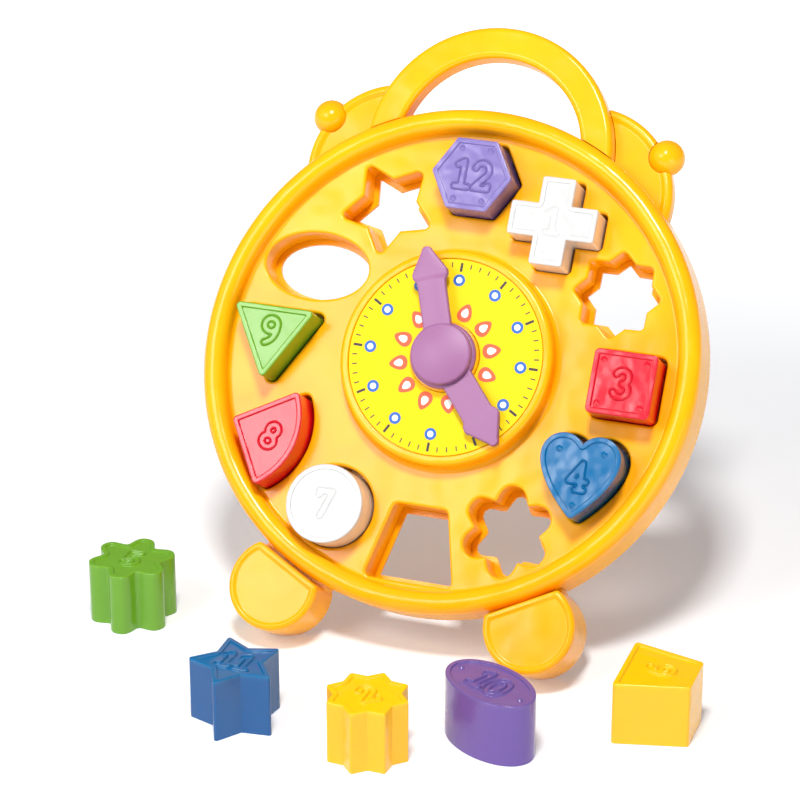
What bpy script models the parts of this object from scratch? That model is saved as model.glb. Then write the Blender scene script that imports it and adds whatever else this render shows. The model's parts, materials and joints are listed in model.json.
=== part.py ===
"""Learning clock toy: a round sorting clock on a fold-out stand, with twelve shape blocks.

The clock is modelled flat in its own frame: X to the right, Z up along the dial and Y back into
the case, with Y zero at the crest of the front bead. The whole clock then leans back. Seven blocks
sit in their holes and five stand on the floor in front. Units are metres, +Z is up, and the floor
is at Z zero under the middle of the whole set.
"""

import math

import bmesh
import bpy
import numpy
from mathutils import Matrix, Vector

# Fits that pieces share
CLEARANCE = 0.0003            # between pieces that touch
PIVOT_CLEARANCE = 0.0003      # round pins and stems in their bores
OVERRUN = 0.003               # how far a cutter runs past what it cuts
WELD_DISTANCE = 0.000004      # corners closer than this are one corner
LEAN_ANGLE = math.radians(34.4)
FLOOR_DROP = 0.1384           # height of the dial's centre above the floor

# Case
RING_RADIUS = 0.130
BEAD_WIDTH = 0.0118
BEAD_RISE = 0.0060            # crest of the bead above its widest line
PANEL_DEPTH = 0.0100          # crest of the bead down to the dial panel
CASE_DEPTH = 0.0290
WALL = 0.0025
BACK_WALL = 0.0020
EDGE_ROUND = 0.0006
COLLAR_WALL = 0.0012          # walls that line the block holes
RING_STEPS = 72
DRUM_STEPS = 56

# Raised drum that carries the printed disc and the hands
DRUM_RADIUS = 0.0555
DRUM_FOOT_WIDTH = 0.0027
DRUM_CREST = 0.0007           # above the bead's crest
DRUM_LIP_WIDTH = 0.0050       # from the disc's edge to the drum's outside
DISC_RADIUS = DRUM_RADIUS - DRUM_LIP_WIDTH
DISC_THICKNESS = 0.0010
DISC_RIM_DROP = 0.0004        # disc's face below the drum's rim
COLLAR_RADIUS = 0.0180        # boss under the hands
COLLAR_RISE = 0.0023
HAND_BOSS_WALL = 0.0040
HAND_BOSS_LENGTH = 0.0090

# Hands
STEM_RADIUS = 0.0040
HAND_THICKNESS = 0.0030
HOUR_HUB_RADIUS = 0.0170
HOUR_LENGTH = 0.0543
HOUR_SHAFT_WIDTH = 0.0164
HOUR_HEAD_WIDTH = 0.0200
HOUR_ANGLE = math.radians(-139.0)
MINUTE_HUB_RADIUS = 0.0157
MINUTE_LENGTH = 0.0562
MINUTE_SHAFT_WIDTH = 0.0146
MINUTE_HEAD_WIDTH = 0.0184
MINUTE_ANGLE = math.radians(18.6)
HAND_HEAD_LENGTH = 0.0165
HAND_TIP_RADIUS = 0.0028
HUB_RISE = 0.0010             # hub's face above the shaft's face
WASHER_RADIUS = 0.0080
WASHER_THICKNESS = 0.0012

# Screws
SCREW_RADIUS = 0.0015
SCREW_HEAD_RADIUS = 0.0030
SCREW_HEAD_HEIGHT = 0.0018
SCREW_SLOT_WIDTH = 0.0008
SCREW_SLOT_DEPTH = 0.0009
SCREW_LENGTH = 0.0085
BOSS_RADIUS = 0.0034
BOSS_INSET = 0.0075           # case edge to the middles of the screw bosses
BOSS_RING_RADIUS = RING_RADIUS - BOSS_INSET
BOSS_ANGLES = (0, 66, 114, 180, 246, 294)

# Flanges that trap the handle, bells and feet inside the case
FLANGE_WIDTH = 0.0034
FLANGE_SPREAD = math.radians(2.2)
NECK_CLEAR_ANGLE = math.radians(0.25)

# Handle arch
HANDLE_SINK = 0.0200          # arch's centre inside the case edge
HANDLE_CENTRE_HEIGHT = RING_RADIUS - HANDLE_SINK
HANDLE_INNER_RADIUS = 0.0484
HANDLE_WIDTH = 0.0162
HANDLE_OUTER_RADIUS = HANDLE_INNER_RADIUS + HANDLE_WIDTH
HANDLE_FRONT = 0.0045
HANDLE_BACK_INSET = 0.0103    # case's back to the handle's back
HANDLE_BACK = CASE_DEPTH - HANDLE_BACK_INSET
HANDLE_ROUND = 0.0030
HANDLE_STEPS = 38

# Bells and their knobs
BELL_RADIUS = 0.0466
BELL_STEP = 0.0025            # bell's centre outside the arch's inner edge
BELL_OFFSET = HANDLE_INNER_RADIUS + BELL_STEP
BELL_DROP = 0.0155            # bell's centre below the arch's centre
BELL_HEIGHT = HANDLE_CENTRE_HEIGHT - BELL_DROP
BELL_LAP = 0.0047             # how far a bell stands forward of the handle's back
BELL_FRONT = HANDLE_BACK - BELL_LAP
BELL_BACK_INSET = 0.0060      # case's back to a bell's back
BELL_BACK = CASE_DEPTH - BELL_BACK_INSET
BELL_ROUND = 0.0030
BELL_RIM_WIDTH = 0.0030
BELL_RECESS = 0.0010
BELL_OVERLAP = 0.0040         # how far a bell runs in behind the handle
KNOB_RADIUS = 0.0092
KNOB_ANGLE = math.radians(32.4)
KNOB_PIN_RADIUS = 0.0022
KNOB_PIN_LENGTH = 0.0070

# Feet
FOOT_RADIUS = 0.0234
FOOT_ANGLE = math.radians(27.9)
FOOT_CHORD_GAP = 0.0010       # case to the foot's straight side
FOOT_CHORD_DROP = 0.0131      # foot's centre beyond its straight side
FOOT_ROUND = 0.0022
FOOT_RIM_WIDTH = 0.0012
FOOT_RECESS = 0.0005
FOOT_NECK_SPREAD = math.radians(8.5)

# Rear stand
STAND_HINGE_HEIGHT = 0.060
STAND_HINGE_GAP = 0.0010      # folded leg to the back of the case
STAND_OPEN_ANGLE = math.radians(66.0)
STAND_WIDTH = 0.0190
STAND_THICKNESS = 0.0080
STAND_TOE = 0.0070            # extra leg below the floor, cut off level
STAND_POCKET_WALL = 0.0025
STAND_POCKET_END = 0.0160
STAND_PIN_RADIUS = 0.0020
STAND_BARREL_RADIUS = 0.0050
STAND_LUG_WIDTH = 0.0040
STAND_LUG_RADIUS = 0.0055
STOP_START = 0.0042
STOP_LENGTH = 0.0080
STOP_THICKNESS = 0.0060

# Blocks and their holes
BLOCK_HEIGHT = 0.0330
BLOCK_WALL = 0.0020
BLOCK_EDGE = 0.0007
BLOCK_RIM_WIDTH = 0.0026
BLOCK_RECESS = 0.0009
HOLE_RING_INSET = 0.0387      # case edge to the ring of hole middles
HOLE_RING_RADIUS = RING_RADIUS - HOLE_RING_INSET
HOLE_PLAY = 0.0011            # all round a block in the middle of its hole
SEAT_DROP = HOLE_PLAY - CLEARANCE   # how far a block slips down the dial in its hole
HOLE_ROUND = 0.0016
LEDGE_WIDTH = 0.0028
CORNER_STEPS = 2
EDGE_SAMPLES = 16

CROSS_SPAN = 0.0452
CROSS_ARM = 0.0173
CROSS_CORNER = 0.0015
BIG_STAR_RADIUS = 0.0243
BIG_STAR_WAIST = 0.0134
SMALL_STAR_RADIUS = 0.0214
SMALL_STAR_WAIST = 0.0166
STAR_CORNER = 0.0013
SQUARE_WIDTH = 0.0326
SQUARE_CORNER = 0.0026
HEART_WIDTH = 0.0410
HEART_LOBE_RADIUS = 0.0113
HEART_POINT_DROP = 0.0315     # sharp point below the middles of the lobes
HEART_SIDE_SHARE = 0.413      # of that drop, down to where the sides start to turn in
HEART_TIP_SHARE = 0.972       # of that drop, down to the rounded tip
HEART_MIDDLE_SHARE = 0.306    # of that drop, down to the outline's own centre
HEART_SIDE_STEPS_SHARES = (0.95, 0.86, 0.72, 0.54, 0.36, 0.18)
FLOWER_RADIUS = 0.0189
FLOWER_WAVE = 0.0033
TRAPEZOID_TOP = 0.0262
TRAPEZOID_BOTTOM = 0.0440
TRAPEZOID_HEIGHT = 0.0366
TRAPEZOID_CORNER = 0.0018
CIRCLE_RADIUS = 0.0201
QUARTER_RADIUS = 0.0372
QUARTER_CORNER = 0.0022
QUARTER_TURN = math.radians(-60.7)
QUARTER_MIDDLE_SHARE = 0.438  # of its radius, from each straight side to its own centre
TRIANGLE_SIDE = 0.0446
TRIANGLE_CORNER = 0.0022
OVAL_WIDTH = 0.0536
OVAL_HEIGHT = 0.0328
HEXAGON_RADIUS = 0.0212
HEXAGON_CORNER = 0.0016

# Hole centres across and up the dial, as shares of HOLE_RING_RADIUS
HOLE_PLACE_SHARES = {
    1: (0.480, 0.829), 2: (0.869, 0.493), 3: (1.026, -0.009), 4: (0.874, -0.543),
    5: (0.495, -0.892), 6: (-0.011, -1.041), 7: (-0.510, -0.904), 8: (-0.892, -0.576),
    9: (-1.012, 0.008), 10: (-0.874, 0.430), 11: (-0.525, 0.820), 12: (-0.024, 1.033),
}
# Loose blocks: centre to the right of the dial and in front of it, as shares of RING_RADIUS,
# and the turn of the block on the floor in degrees
LOOSE_PLACE_SHARES = {
    2: (0.107, -1.207, -3), 5: (-1.122, -0.527, 2), 6: (1.073, -0.686, -90),
    10: (0.508, -0.987, -30), 11: (-0.435, -1.140, -6),
}

YELLOW = (1.0, 0.66, 0.01)
LEMON = (1.0, 0.87, 0.0)
LILAC = (0.56, 0.23, 0.51)
WHITE = (0.92, 0.92, 0.90)
RED = (0.86, 0.02, 0.05)
BLUE = (0.0, 0.13, 0.50)
GREEN = (0.20, 0.48, 0.03)
PURPLE = (0.22, 0.12, 0.46)
LAVENDER = (0.36, 0.32, 0.62)
STEEL = (0.56, 0.57, 0.58)


def clear_scene():
    for item in list(bpy.data.objects):
        bpy.data.objects.remove(item, do_unlink=True)


def material(name, colour, roughness, metallic=0.0):
    finish = bpy.data.materials.new(name)
    finish.use_nodes = True
    shader = finish.node_tree.nodes["Principled BSDF"]
    shader.inputs["Base Color"].default_value = (*colour, 1.0)
    shader.inputs["Roughness"].default_value = roughness
    shader.inputs["Metallic"].default_value = metallic
    return finish


def empty(name, parent=None, location=(0, 0, 0), rotation=(0, 0, 0)):
    holder = bpy.data.objects.new(name, None)
    bpy.context.scene.collection.objects.link(holder)
    holder.parent = parent
    holder.location = location
    holder.rotation_euler = rotation
    return holder


def mesh_object(name, bm):
    """Turn a bmesh into an object, with its faces pointing out."""
    bmesh.ops.recalc_face_normals(bm, faces=bm.faces)
    mesh = bpy.data.meshes.new(name)
    bm.to_mesh(mesh)
    bm.free()
    made = bpy.data.objects.new(name, mesh)
    bpy.context.scene.collection.objects.link(made)
    return made


def finish_piece(piece, finish, parent, location=(0, 0, 0), rotation=(0, 0, 0), smooth=True):
    piece.data.materials.clear()
    piece.data.materials.append(finish)
    piece.parent = parent
    piece.location = location
    piece.rotation_euler = rotation
    if smooth:
        piece.data.shade_smooth()
        piece.data.set_sharp_from_angle(angle=math.radians(32))
    return piece


def boolean(body, tool, operation):
    """Apply a Boolean of tool to body, and remove the tool."""
    step = body.modifiers.new(operation.lower(), "BOOLEAN")
    step.operation = operation
    step.object = tool
    step.solver = "EXACT"
    graph = bpy.context.evaluated_depsgraph_get()
    result = bpy.data.meshes.new_from_object(body.evaluated_get(graph))
    body.modifiers.clear()
    bm = bmesh.new()
    bm.from_mesh(result)
    bmesh.ops.remove_doubles(bm, verts=bm.verts, dist=WELD_DISTANCE)
    bmesh.ops.dissolve_degenerate(bm, edges=bm.edges, dist=WELD_DISTANCE)
    bm.to_mesh(result)
    bm.free()
    body.data = result
    bpy.data.objects.remove(tool, do_unlink=True)
    return body


def add(body, *tools):
    for tool in tools:
        boolean(body, tool, "UNION")
    return body


def cut(body, *tools):
    for tool in tools:
        boolean(body, tool, "DIFFERENCE")
    return body


def weld_group(name, pieces):
    """Put separate solids into one object."""
    bm = bmesh.new()
    for piece in pieces:
        copy = piece.data.copy()
        copy.transform(piece.matrix_basis)
        bm.from_mesh(copy)
        bpy.data.meshes.remove(copy)
        bpy.data.objects.remove(piece, do_unlink=True)
    return mesh_object(name, bm)


def skin(name, rings, closed=False):
    """Join rings of the same number of points by quads. Open skins get a cap at each end."""
    bm = bmesh.new()
    rows = [[bm.verts.new(point) for point in ring] for ring in rings]
    pairs = list(zip(rows, rows[1:]))
    if closed:
        pairs.append((rows[-1], rows[0]))
    for row, after in pairs:
        for i in range(len(row)):
            j = (i + 1) % len(row)
            bm.faces.new((row[i], row[j], after[j], after[i]))
    if not closed:
        bm.faces.new(rows[0])
        bm.faces.new(rows[-1])
    return mesh_object(name, bm)


def turned(name, profile, steps, start=0.0, sweep=2 * math.pi, centre=(0.0, 0.0)):
    """Turn a closed profile of (radius, depth) points about a line along Y."""
    full = abs(sweep - 2 * math.pi) < 1e-6
    count = steps if full else steps + 1
    on_axis = profile[0][0] == 0.0
    bm = bmesh.new()
    rows = []
    for i in range(count):
        angle = start + sweep * i / steps
        row = []
        for radius, depth in profile:
            if radius == 0.0 and rows:
                row.append(rows[0][len(row)])
                continue
            spot = (centre[0] + radius * math.cos(angle), depth, centre[1] + radius * math.sin(angle))
            row.append(bm.verts.new(spot))
        rows.append(row)
    pairs = list(zip(rows, rows[1:]))
    if full:
        pairs.append((rows[-1], rows[0]))
    for row, after in pairs:
        for i in range(len(profile)):
            j = (i + 1) % len(profile)
            if on_axis and profile[i][0] == 0.0 and profile[j][0] == 0.0:
                continue
            corners = []
            for corner in (row[i], row[j], after[j], after[i]):
                if corner not in corners:
                    corners.append(corner)
            bm.faces.new(corners)
    if not full:
        bm.faces.new(rows[0])
        bm.faces.new(rows[-1])
    return mesh_object(name, bm)


def cylinder(name, radius, front, back, steps=24, centre=(0.0, 0.0)):
    profile = [(0.0, front), (radius, front), (radius, back), (0.0, back)]
    return turned(name, profile, steps, centre=centre)


def sector(name, inner, outer, front, back, middle, half_angle, steps=16, centre=(0.0, 0.0)):
    """A block of a ring between two radii, about the angle named middle."""
    profile = [(inner, front), (outer, front), (outer, back), (inner, back)]
    return turned(name, profile, steps, middle - half_angle, 2 * half_angle, centre)


def clock_angle(angle):
    """An angle from the top, clockwise, as an angle from +X, anticlockwise."""
    return math.radians(90) - angle


def arc(centre, radius, start, end, steps):
    """Points along an arc, both ends included."""
    points = []
    for i in range(steps + 1):
        angle = start + (end - start) * i / steps
        points.append((centre[0] + radius * math.cos(angle), centre[1] + radius * math.sin(angle)))
    return points


def side_directions(corners, i):
    """Unit vectors along the sides that come into and leave corner i, and the turn between them."""
    here = Vector(corners[i])
    before = (here - Vector(corners[i - 1])).normalized()
    after = (Vector(corners[(i + 1) % len(corners)]) - here).normalized()
    turn = math.atan2(before.x * after.y - before.y * after.x, before.dot(after))
    return before, after, turn


def grown_corners(corners, grow):
    """Move every side of an anticlockwise outline out by grow, or in where it is negative."""
    moved = []
    for i, corner in enumerate(corners):
        before, after, turn = side_directions(corners, i)
        out = Vector((before.y + after.y, -before.x - after.x)).normalized()
        moved.append(tuple(Vector(corner) + out * grow / math.cos(turn / 2)))
    return moved


def rounded(corners, radius, grow=0.0, steps=CORNER_STEPS):
    """Grow an outline and round its outward corners. Its inward corners stay sharp."""
    radius = max(radius + grow, radius / 4)
    corners = grown_corners(corners, grow)
    points = []
    for i, corner in enumerate(corners):
        before, after, turn = side_directions(corners, i)
        if turn <= math.radians(1):
            points.append(corner)
            continue
        start = Vector(corner) - before * radius * math.tan(turn / 2)
        centre = start + Vector((-before.y, before.x)) * radius
        first = math.atan2(start.y - centre.y, start.x - centre.x)
        points.extend(arc(centre, radius, first, first + turn, steps))
    return points


def offset_outline(outline, grow):
    """Move an outline out by grow, or in where it is negative, at the same angles about its centre.

    The outline holds its centre in sight all round, so each point only slides along its own ray.
    """
    if grow == 0:
        return list(outline)
    points = numpy.array(outline)
    after = numpy.roll(points, -1, axis=0)
    shares = numpy.linspace(0, 1, EDGE_SAMPLES, endpoint=False)
    dense = (points[:, None, :] + (after - points)[:, None, :] * shares[None, :, None]).reshape(-1, 2)
    rays = points / numpy.linalg.norm(points, axis=1)[:, None]
    along = rays @ dense.T
    across = rays[:, 0:1] * dense[:, 1][None, :] - rays[:, 1:2] * dense[:, 0][None, :]
    reach = numpy.sqrt(numpy.maximum(grow * grow - across * across, 0))
    near = numpy.abs(across) <= abs(grow)
    ahead = along > 0
    if grow > 0:
        length = numpy.where(near & ahead, along + reach, 0).max(axis=1)
    else:
        far = numpy.linalg.norm(points, axis=1).max()
        length = numpy.where(near & ahead, along - reach, far).min(axis=1)
    return [tuple(ray * size) for ray, size in zip(rays, length)]


def outline_ring(outline, depth, place=(0.0, 0.0)):
    return [(place[0] + x, depth, place[1] + z) for x, z in outline]


def edge_levels(soft, front, steps=3):
    """Inset and depth of each step of an edge rounded from a front face to a side."""
    levels = []
    for i in range(steps + 1):
        angle = math.pi / 2 * i / steps
        levels.append((soft * (1 - math.sin(angle)), front + soft * (1 - math.cos(angle))))
    return levels


def star_corners(points, tip_radius, waist_radius, start):
    corners = []
    for i in range(2 * points):
        radius = tip_radius if i % 2 == 0 else waist_radius
        angle = start + math.pi * i / points
        corners.append((radius * math.cos(angle), radius * math.sin(angle)))
    return corners


def cross_outline(grow):
    reach = CROSS_SPAN / 2
    half = CROSS_ARM / 2
    quarter = [(reach, -half), (reach, half), (half, half)]
    corners = []
    for turn in range(4):
        for x, z in quarter:
            for _ in range(turn):
                x, z = -z, x
            corners.append((x, z))
    return rounded(corners, CROSS_CORNER, grow)


def small_star_outline(grow):
    return rounded(star_corners(8, SMALL_STAR_RADIUS, SMALL_STAR_WAIST, 0.0), STAR_CORNER, grow)


def big_star_outline(grow):
    start = math.radians(-90)
    return rounded(star_corners(5, BIG_STAR_RADIUS, BIG_STAR_WAIST, start), STAR_CORNER, grow)


def square_outline(grow):
    half = SQUARE_WIDTH / 2
    corners = [(half, -half), (half, half), (-half, half), (-half, -half)]
    return rounded(corners, SQUARE_CORNER, grow, 3)


def heart_outline(grow):
    """Two round lobes over sides that curve in to a rounded tip."""
    half = HEART_WIDTH / 2
    middle = HEART_MIDDLE_SHARE * HEART_POINT_DROP
    start = (half, 0.0)
    bend = (half, -HEART_SIDE_SHARE * HEART_POINT_DROP)
    point = (0.0, -HEART_POINT_DROP)
    right = [(0.0, -HEART_TIP_SHARE * HEART_POINT_DROP)]
    for share in HEART_SIDE_STEPS_SHARES:
        rest = 1 - share
        right.append(tuple(rest * rest * a + 2 * rest * share * b + share * share * c
                           for a, b, c in zip(start, bend, point)))
    lobe = (half - HEART_LOBE_RADIUS, 0.0)
    notch = math.acos(-lobe[0] / HEART_LOBE_RADIUS)
    right.extend(arc(lobe, HEART_LOBE_RADIUS, 0.0, notch, 9))
    right[-1] = (0.0, right[-1][1])
    left = [(-x, z) for x, z in reversed(right[1:-1])]
    return offset_outline([(x, z + middle) for x, z in right + left], grow)


def flower_outline(grow):
    """Six round petals from one wave, the first petal pointing up."""
    points = []
    steps = 48
    for i in range(steps):
        angle = 2 * math.pi * i / steps
        radius = FLOWER_RADIUS + FLOWER_WAVE * (1 - 2 * abs(math.sin(3 * angle)) ** 3)
        points.append((-radius * math.sin(angle), radius * math.cos(angle)))
    return offset_outline(points, grow)


def trapezoid_outline(grow):
    half = TRAPEZOID_HEIGHT / 2
    corners = [(TRAPEZOID_BOTTOM / 2, -half), (TRAPEZOID_TOP / 2, half),
               (-TRAPEZOID_TOP / 2, half), (-TRAPEZOID_BOTTOM / 2, -half)]
    return rounded(corners, TRAPEZOID_CORNER, grow)


def oval_points(width, height, steps=36):
    turn = 2 * math.pi / steps
    return [(width / 2 * math.cos(i * turn), height / 2 * math.sin(i * turn)) for i in range(steps)]


def circle_outline(grow):
    return oval_points(2 * (CIRCLE_RADIUS + grow), 2 * (CIRCLE_RADIUS + grow))


def oval_outline(grow):
    return offset_outline(oval_points(OVAL_WIDTH, OVAL_HEIGHT), grow)


def quarter_outline(grow):
    """A quarter of a circle with rounded corners, its square corner up and to the left."""
    radius = max(QUARTER_CORNER + grow, QUARTER_CORNER / 4)
    inset = radius - grow
    reach = math.sqrt((QUARTER_RADIUS - inset) ** 2 - inset ** 2)
    blend = math.atan2(inset, reach)
    right_angle = math.radians(90)
    points = arc((inset, inset), radius, 2 * right_angle, 3 * right_angle, 2)
    points += arc((reach, inset), radius, -right_angle, blend, 3)
    points += arc((0, 0), QUARTER_RADIUS + grow, blend, right_angle - blend, 8)[1:-1]
    points += arc((inset, reach), radius, right_angle - blend, 2 * right_angle, 3)
    middle = QUARTER_MIDDLE_SHARE * QUARTER_RADIUS
    turn = Matrix.Rotation(QUARTER_TURN, 2)
    return [tuple(turn @ Vector((x - middle, z - middle))) for x, z in points]


def triangle_outline(grow):
    radius = TRIANGLE_SIDE / math.sqrt(3)
    corners = [(radius * math.cos(a), radius * math.sin(a)) for a in
               (math.radians(-90), math.radians(30), math.radians(150))]
    return rounded(corners, TRIANGLE_CORNER, grow, 3)


def hexagon_outline(grow):
    corners = [(HEXAGON_RADIUS * math.cos(i * math.pi / 3), HEXAGON_RADIUS * math.sin(i * math.pi / 3))
               for i in range(6)]
    return rounded(corners, HEXAGON_CORNER, grow)


SHAPES = {
    1: ("cross", cross_outline, WHITE), 2: ("small_star", small_star_outline, YELLOW),
    3: ("square", square_outline, RED), 4: ("heart", heart_outline, BLUE),
    5: ("flower", flower_outline, GREEN), 6: ("trapezoid", trapezoid_outline, YELLOW),
    7: ("circle", circle_outline, WHITE), 8: ("quarter", quarter_outline, RED),
    9: ("triangle", triangle_outline, GREEN), 10: ("oval", oval_outline, PURPLE),
    11: ("big_star", big_star_outline, BLUE), 12: ("hexagon", hexagon_outline, LAVENDER),
}


def hole_place(hour):
    across, up = HOLE_PLACE_SHARES[hour]
    return (across * HOLE_RING_RADIUS, up * HOLE_RING_RADIUS)


def hole_group(name, levels):
    """One solid for each hour's outline, through levels of (growth, depth)."""
    solids = []
    for hour, (shape, outline, _) in SHAPES.items():
        rings = [outline_ring(outline(grow), depth, hole_place(hour)) for grow, depth in levels]
        solids.append(skin(name + shape, rings))
    return weld_group(name, solids)


def ledge_depth():
    return CASE_DEPTH - BACK_WALL


def seat_depth():
    """Depth at which a block, a hole's lining and a boss end, just short of the rear plate."""
    return ledge_depth() - CLEARANCE


def hand_faces():
    """Depths of the collar's face and of the back and front of each hand, front to back."""
    collar = disc_face() - COLLAR_RISE
    hour_back = collar - CLEARANCE
    hour_front = hour_back - HAND_THICKNESS
    minute_back = hour_front - CLEARANCE
    minute_front = minute_back - HAND_THICKNESS
    return collar, hour_back, hour_front, minute_back, minute_front


def disc_face():
    return DISC_RIM_DROP - DRUM_CREST


def hand_boss_end():
    return disc_face() + DISC_THICKNESS + WALL + HAND_BOSS_LENGTH


def front_shell_profile():
    """Radius and depth all round the front shell: over the face, down the wall and back inside."""
    collar = hand_faces()[0]
    soft = EDGE_ROUND
    pocket = disc_face() + DISC_THICKNESS + CLEARANCE
    disc_edge = DISC_RADIUS + CLEARANCE
    crest = -DRUM_CREST
    bead = BEAD_WIDTH / 2
    bead_middle = RING_RADIUS - bead
    foot = DRUM_FOOT_WIDTH
    points = [(0.0, collar), (COLLAR_RADIUS - soft, collar), (COLLAR_RADIUS, collar + soft),
              (COLLAR_RADIUS, pocket), (disc_edge, pocket), (disc_edge, crest + soft),
              (disc_edge + soft, crest)]
    side = DRUM_RADIUS
    points += [(side - 2 * foot / 3, crest), (side - foot / 5, crest + foot / 3), (side, crest + foot)]
    points += [(side + foot / 5, PANEL_DEPTH - foot / 2), (side + foot, PANEL_DEPTH)]
    inner_foot = bead_middle - bead
    points += [(inner_foot - 2 * soft, PANEL_DEPTH), (inner_foot, PANEL_DEPTH - 2 * soft)]
    for i in range(9):
        angle = math.pi * (1 - i / 8)
        points.append((bead_middle + bead * math.cos(angle), BEAD_RISE * (1 - math.sin(angle))))
    points += [(RING_RADIUS, CASE_DEPTH), (RING_RADIUS - WALL, CASE_DEPTH)]
    hollow = bead - WALL
    for i in range(4):
        angle = math.pi * i / 3
        points.append((bead_middle + hollow * math.cos(angle),
                       BEAD_RISE - (BEAD_RISE - WALL) * math.sin(angle)))
    inside = PANEL_DEPTH + WALL
    floor = pocket + WALL
    points += [(bead_middle - hollow, inside), (side - WALL, inside), (side - WALL, floor), (0.0, floor)]
    return points


def boss_places():
    places = []
    for degrees in BOSS_ANGLES:
        angle = clock_angle(math.radians(degrees))
        places.append((BOSS_RING_RADIUS * math.cos(angle), BOSS_RING_RADIUS * math.sin(angle)))
    return places


def crossing(ring, reach, radius):
    """Angle at the dial's centre between a circle's centre and where it crosses a ring."""
    return math.acos((ring ** 2 + reach ** 2 - radius ** 2) / (2 * ring * reach))


def neck_span():
    """Angles from the top at which a handle's arm starts and ends, and a bell ends, at the wall."""
    inner = RING_RADIUS - WALL
    arm_start = crossing(RING_RADIUS, HANDLE_CENTRE_HEIGHT, HANDLE_INNER_RADIUS)
    arm_end = crossing(inner, HANDLE_CENTRE_HEIGHT, HANDLE_OUTER_RADIUS)
    bell_end = crossing(inner, math.hypot(BELL_OFFSET, BELL_HEIGHT), BELL_RADIUS)
    return arm_start, arm_end, bell_end + math.atan2(BELL_OFFSET, BELL_HEIGHT)


def slot_list():
    """Middle and half angle of each slot in the case wall, two for the bells and two for the feet."""
    arm_start, _, bell_end = neck_span()
    top_middle = (arm_start + bell_end) / 2
    top_half = (bell_end - arm_start) / 2 + NECK_CLEAR_ANGLE
    slots = []
    for side in (1, -1):
        slots.append((clock_angle(side * top_middle), top_half))
        slots.append((clock_angle(side * (math.pi - FOOT_ANGLE)), FOOT_NECK_SPREAD + NECK_CLEAR_ANGLE))
    return slots


def make_front_shell(parent, finish):
    shell = turned("front_shell", front_shell_profile(), RING_STEPS)
    lining = hole_group("lining", [(HOLE_PLAY + COLLAR_WALL, PANEL_DEPTH + WALL / 2),
                                   (HOLE_PLAY + COLLAR_WALL, seat_depth())])
    bosses = [cylinder("boss", BOSS_RADIUS, PANEL_DEPTH + WALL / 2, seat_depth(), 16, place)
              for place in boss_places()]
    bosses.append(cylinder("boss", STEM_RADIUS + HAND_BOSS_WALL, disc_face() + WALL, hand_boss_end(), 24))
    add(shell, lining, weld_group("bosses", bosses))
    levels = [(HOLE_PLAY + HOLE_ROUND, PANEL_DEPTH - OVERRUN)]
    levels += [(HOLE_PLAY + inset, depth) for inset, depth in edge_levels(HOLE_ROUND, PANEL_DEPTH, 2)]
    levels.append((HOLE_PLAY, seat_depth() + OVERRUN))
    cut(shell, hole_group("holes", levels))
    pilot = SCREW_RADIUS + CLEARANCE
    drills = [cylinder("drill", pilot, CASE_DEPTH - SCREW_LENGTH - CLEARANCE, CASE_DEPTH, 12, place)
              for place in boss_places()]
    drills.append(cylinder("bore", STEM_RADIUS + PIVOT_CLEARANCE, hand_faces()[0] - OVERRUN,
                           hand_boss_end() + OVERRUN, 24))
    slots = [sector("slot", RING_RADIUS - WALL - OVERRUN / 2, RING_RADIUS + OVERRUN,
                    PANEL_DEPTH + WALL, CASE_DEPTH + OVERRUN, middle, half)
             for middle, half in slot_list()]
    cut(shell, weld_group("drills", drills), weld_group("slots", slots))
    return finish_piece(shell, finish, parent)


def stand_hinge_depth():
    return CASE_DEPTH + STAND_HINGE_GAP + STAND_THICKNESS / 2


def stop_outline():
    """Side view of the stop, as (height, depth) points that clear the barrel and the open leg."""
    along = Vector((-math.cos(STAND_OPEN_ANGLE), math.sin(STAND_OPEN_ANGLE)))
    out = Vector((math.sin(STAND_OPEN_ANGLE), math.cos(STAND_OPEN_ANGLE)))
    hinge = Vector((STAND_HINGE_HEIGHT, stand_hinge_depth()))
    face = hinge + out * (STAND_THICKNESS / 2 + CLEARANCE)
    near = face + along * STOP_START
    far = near + along * STOP_LENGTH
    clear = STAND_BARREL_RADIUS + CLEARANCE
    root = Vector((STAND_HINGE_HEIGHT + clear + STOP_THICKNESS / 6, CASE_DEPTH - BACK_WALL / 2))
    heel = Vector((root.x, hinge.y + clear / 3))
    top = Vector((root.x + 2 * STOP_THICKNESS, root.y))
    return [near, far, far + out * STOP_THICKNESS, top, root, heel]


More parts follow.
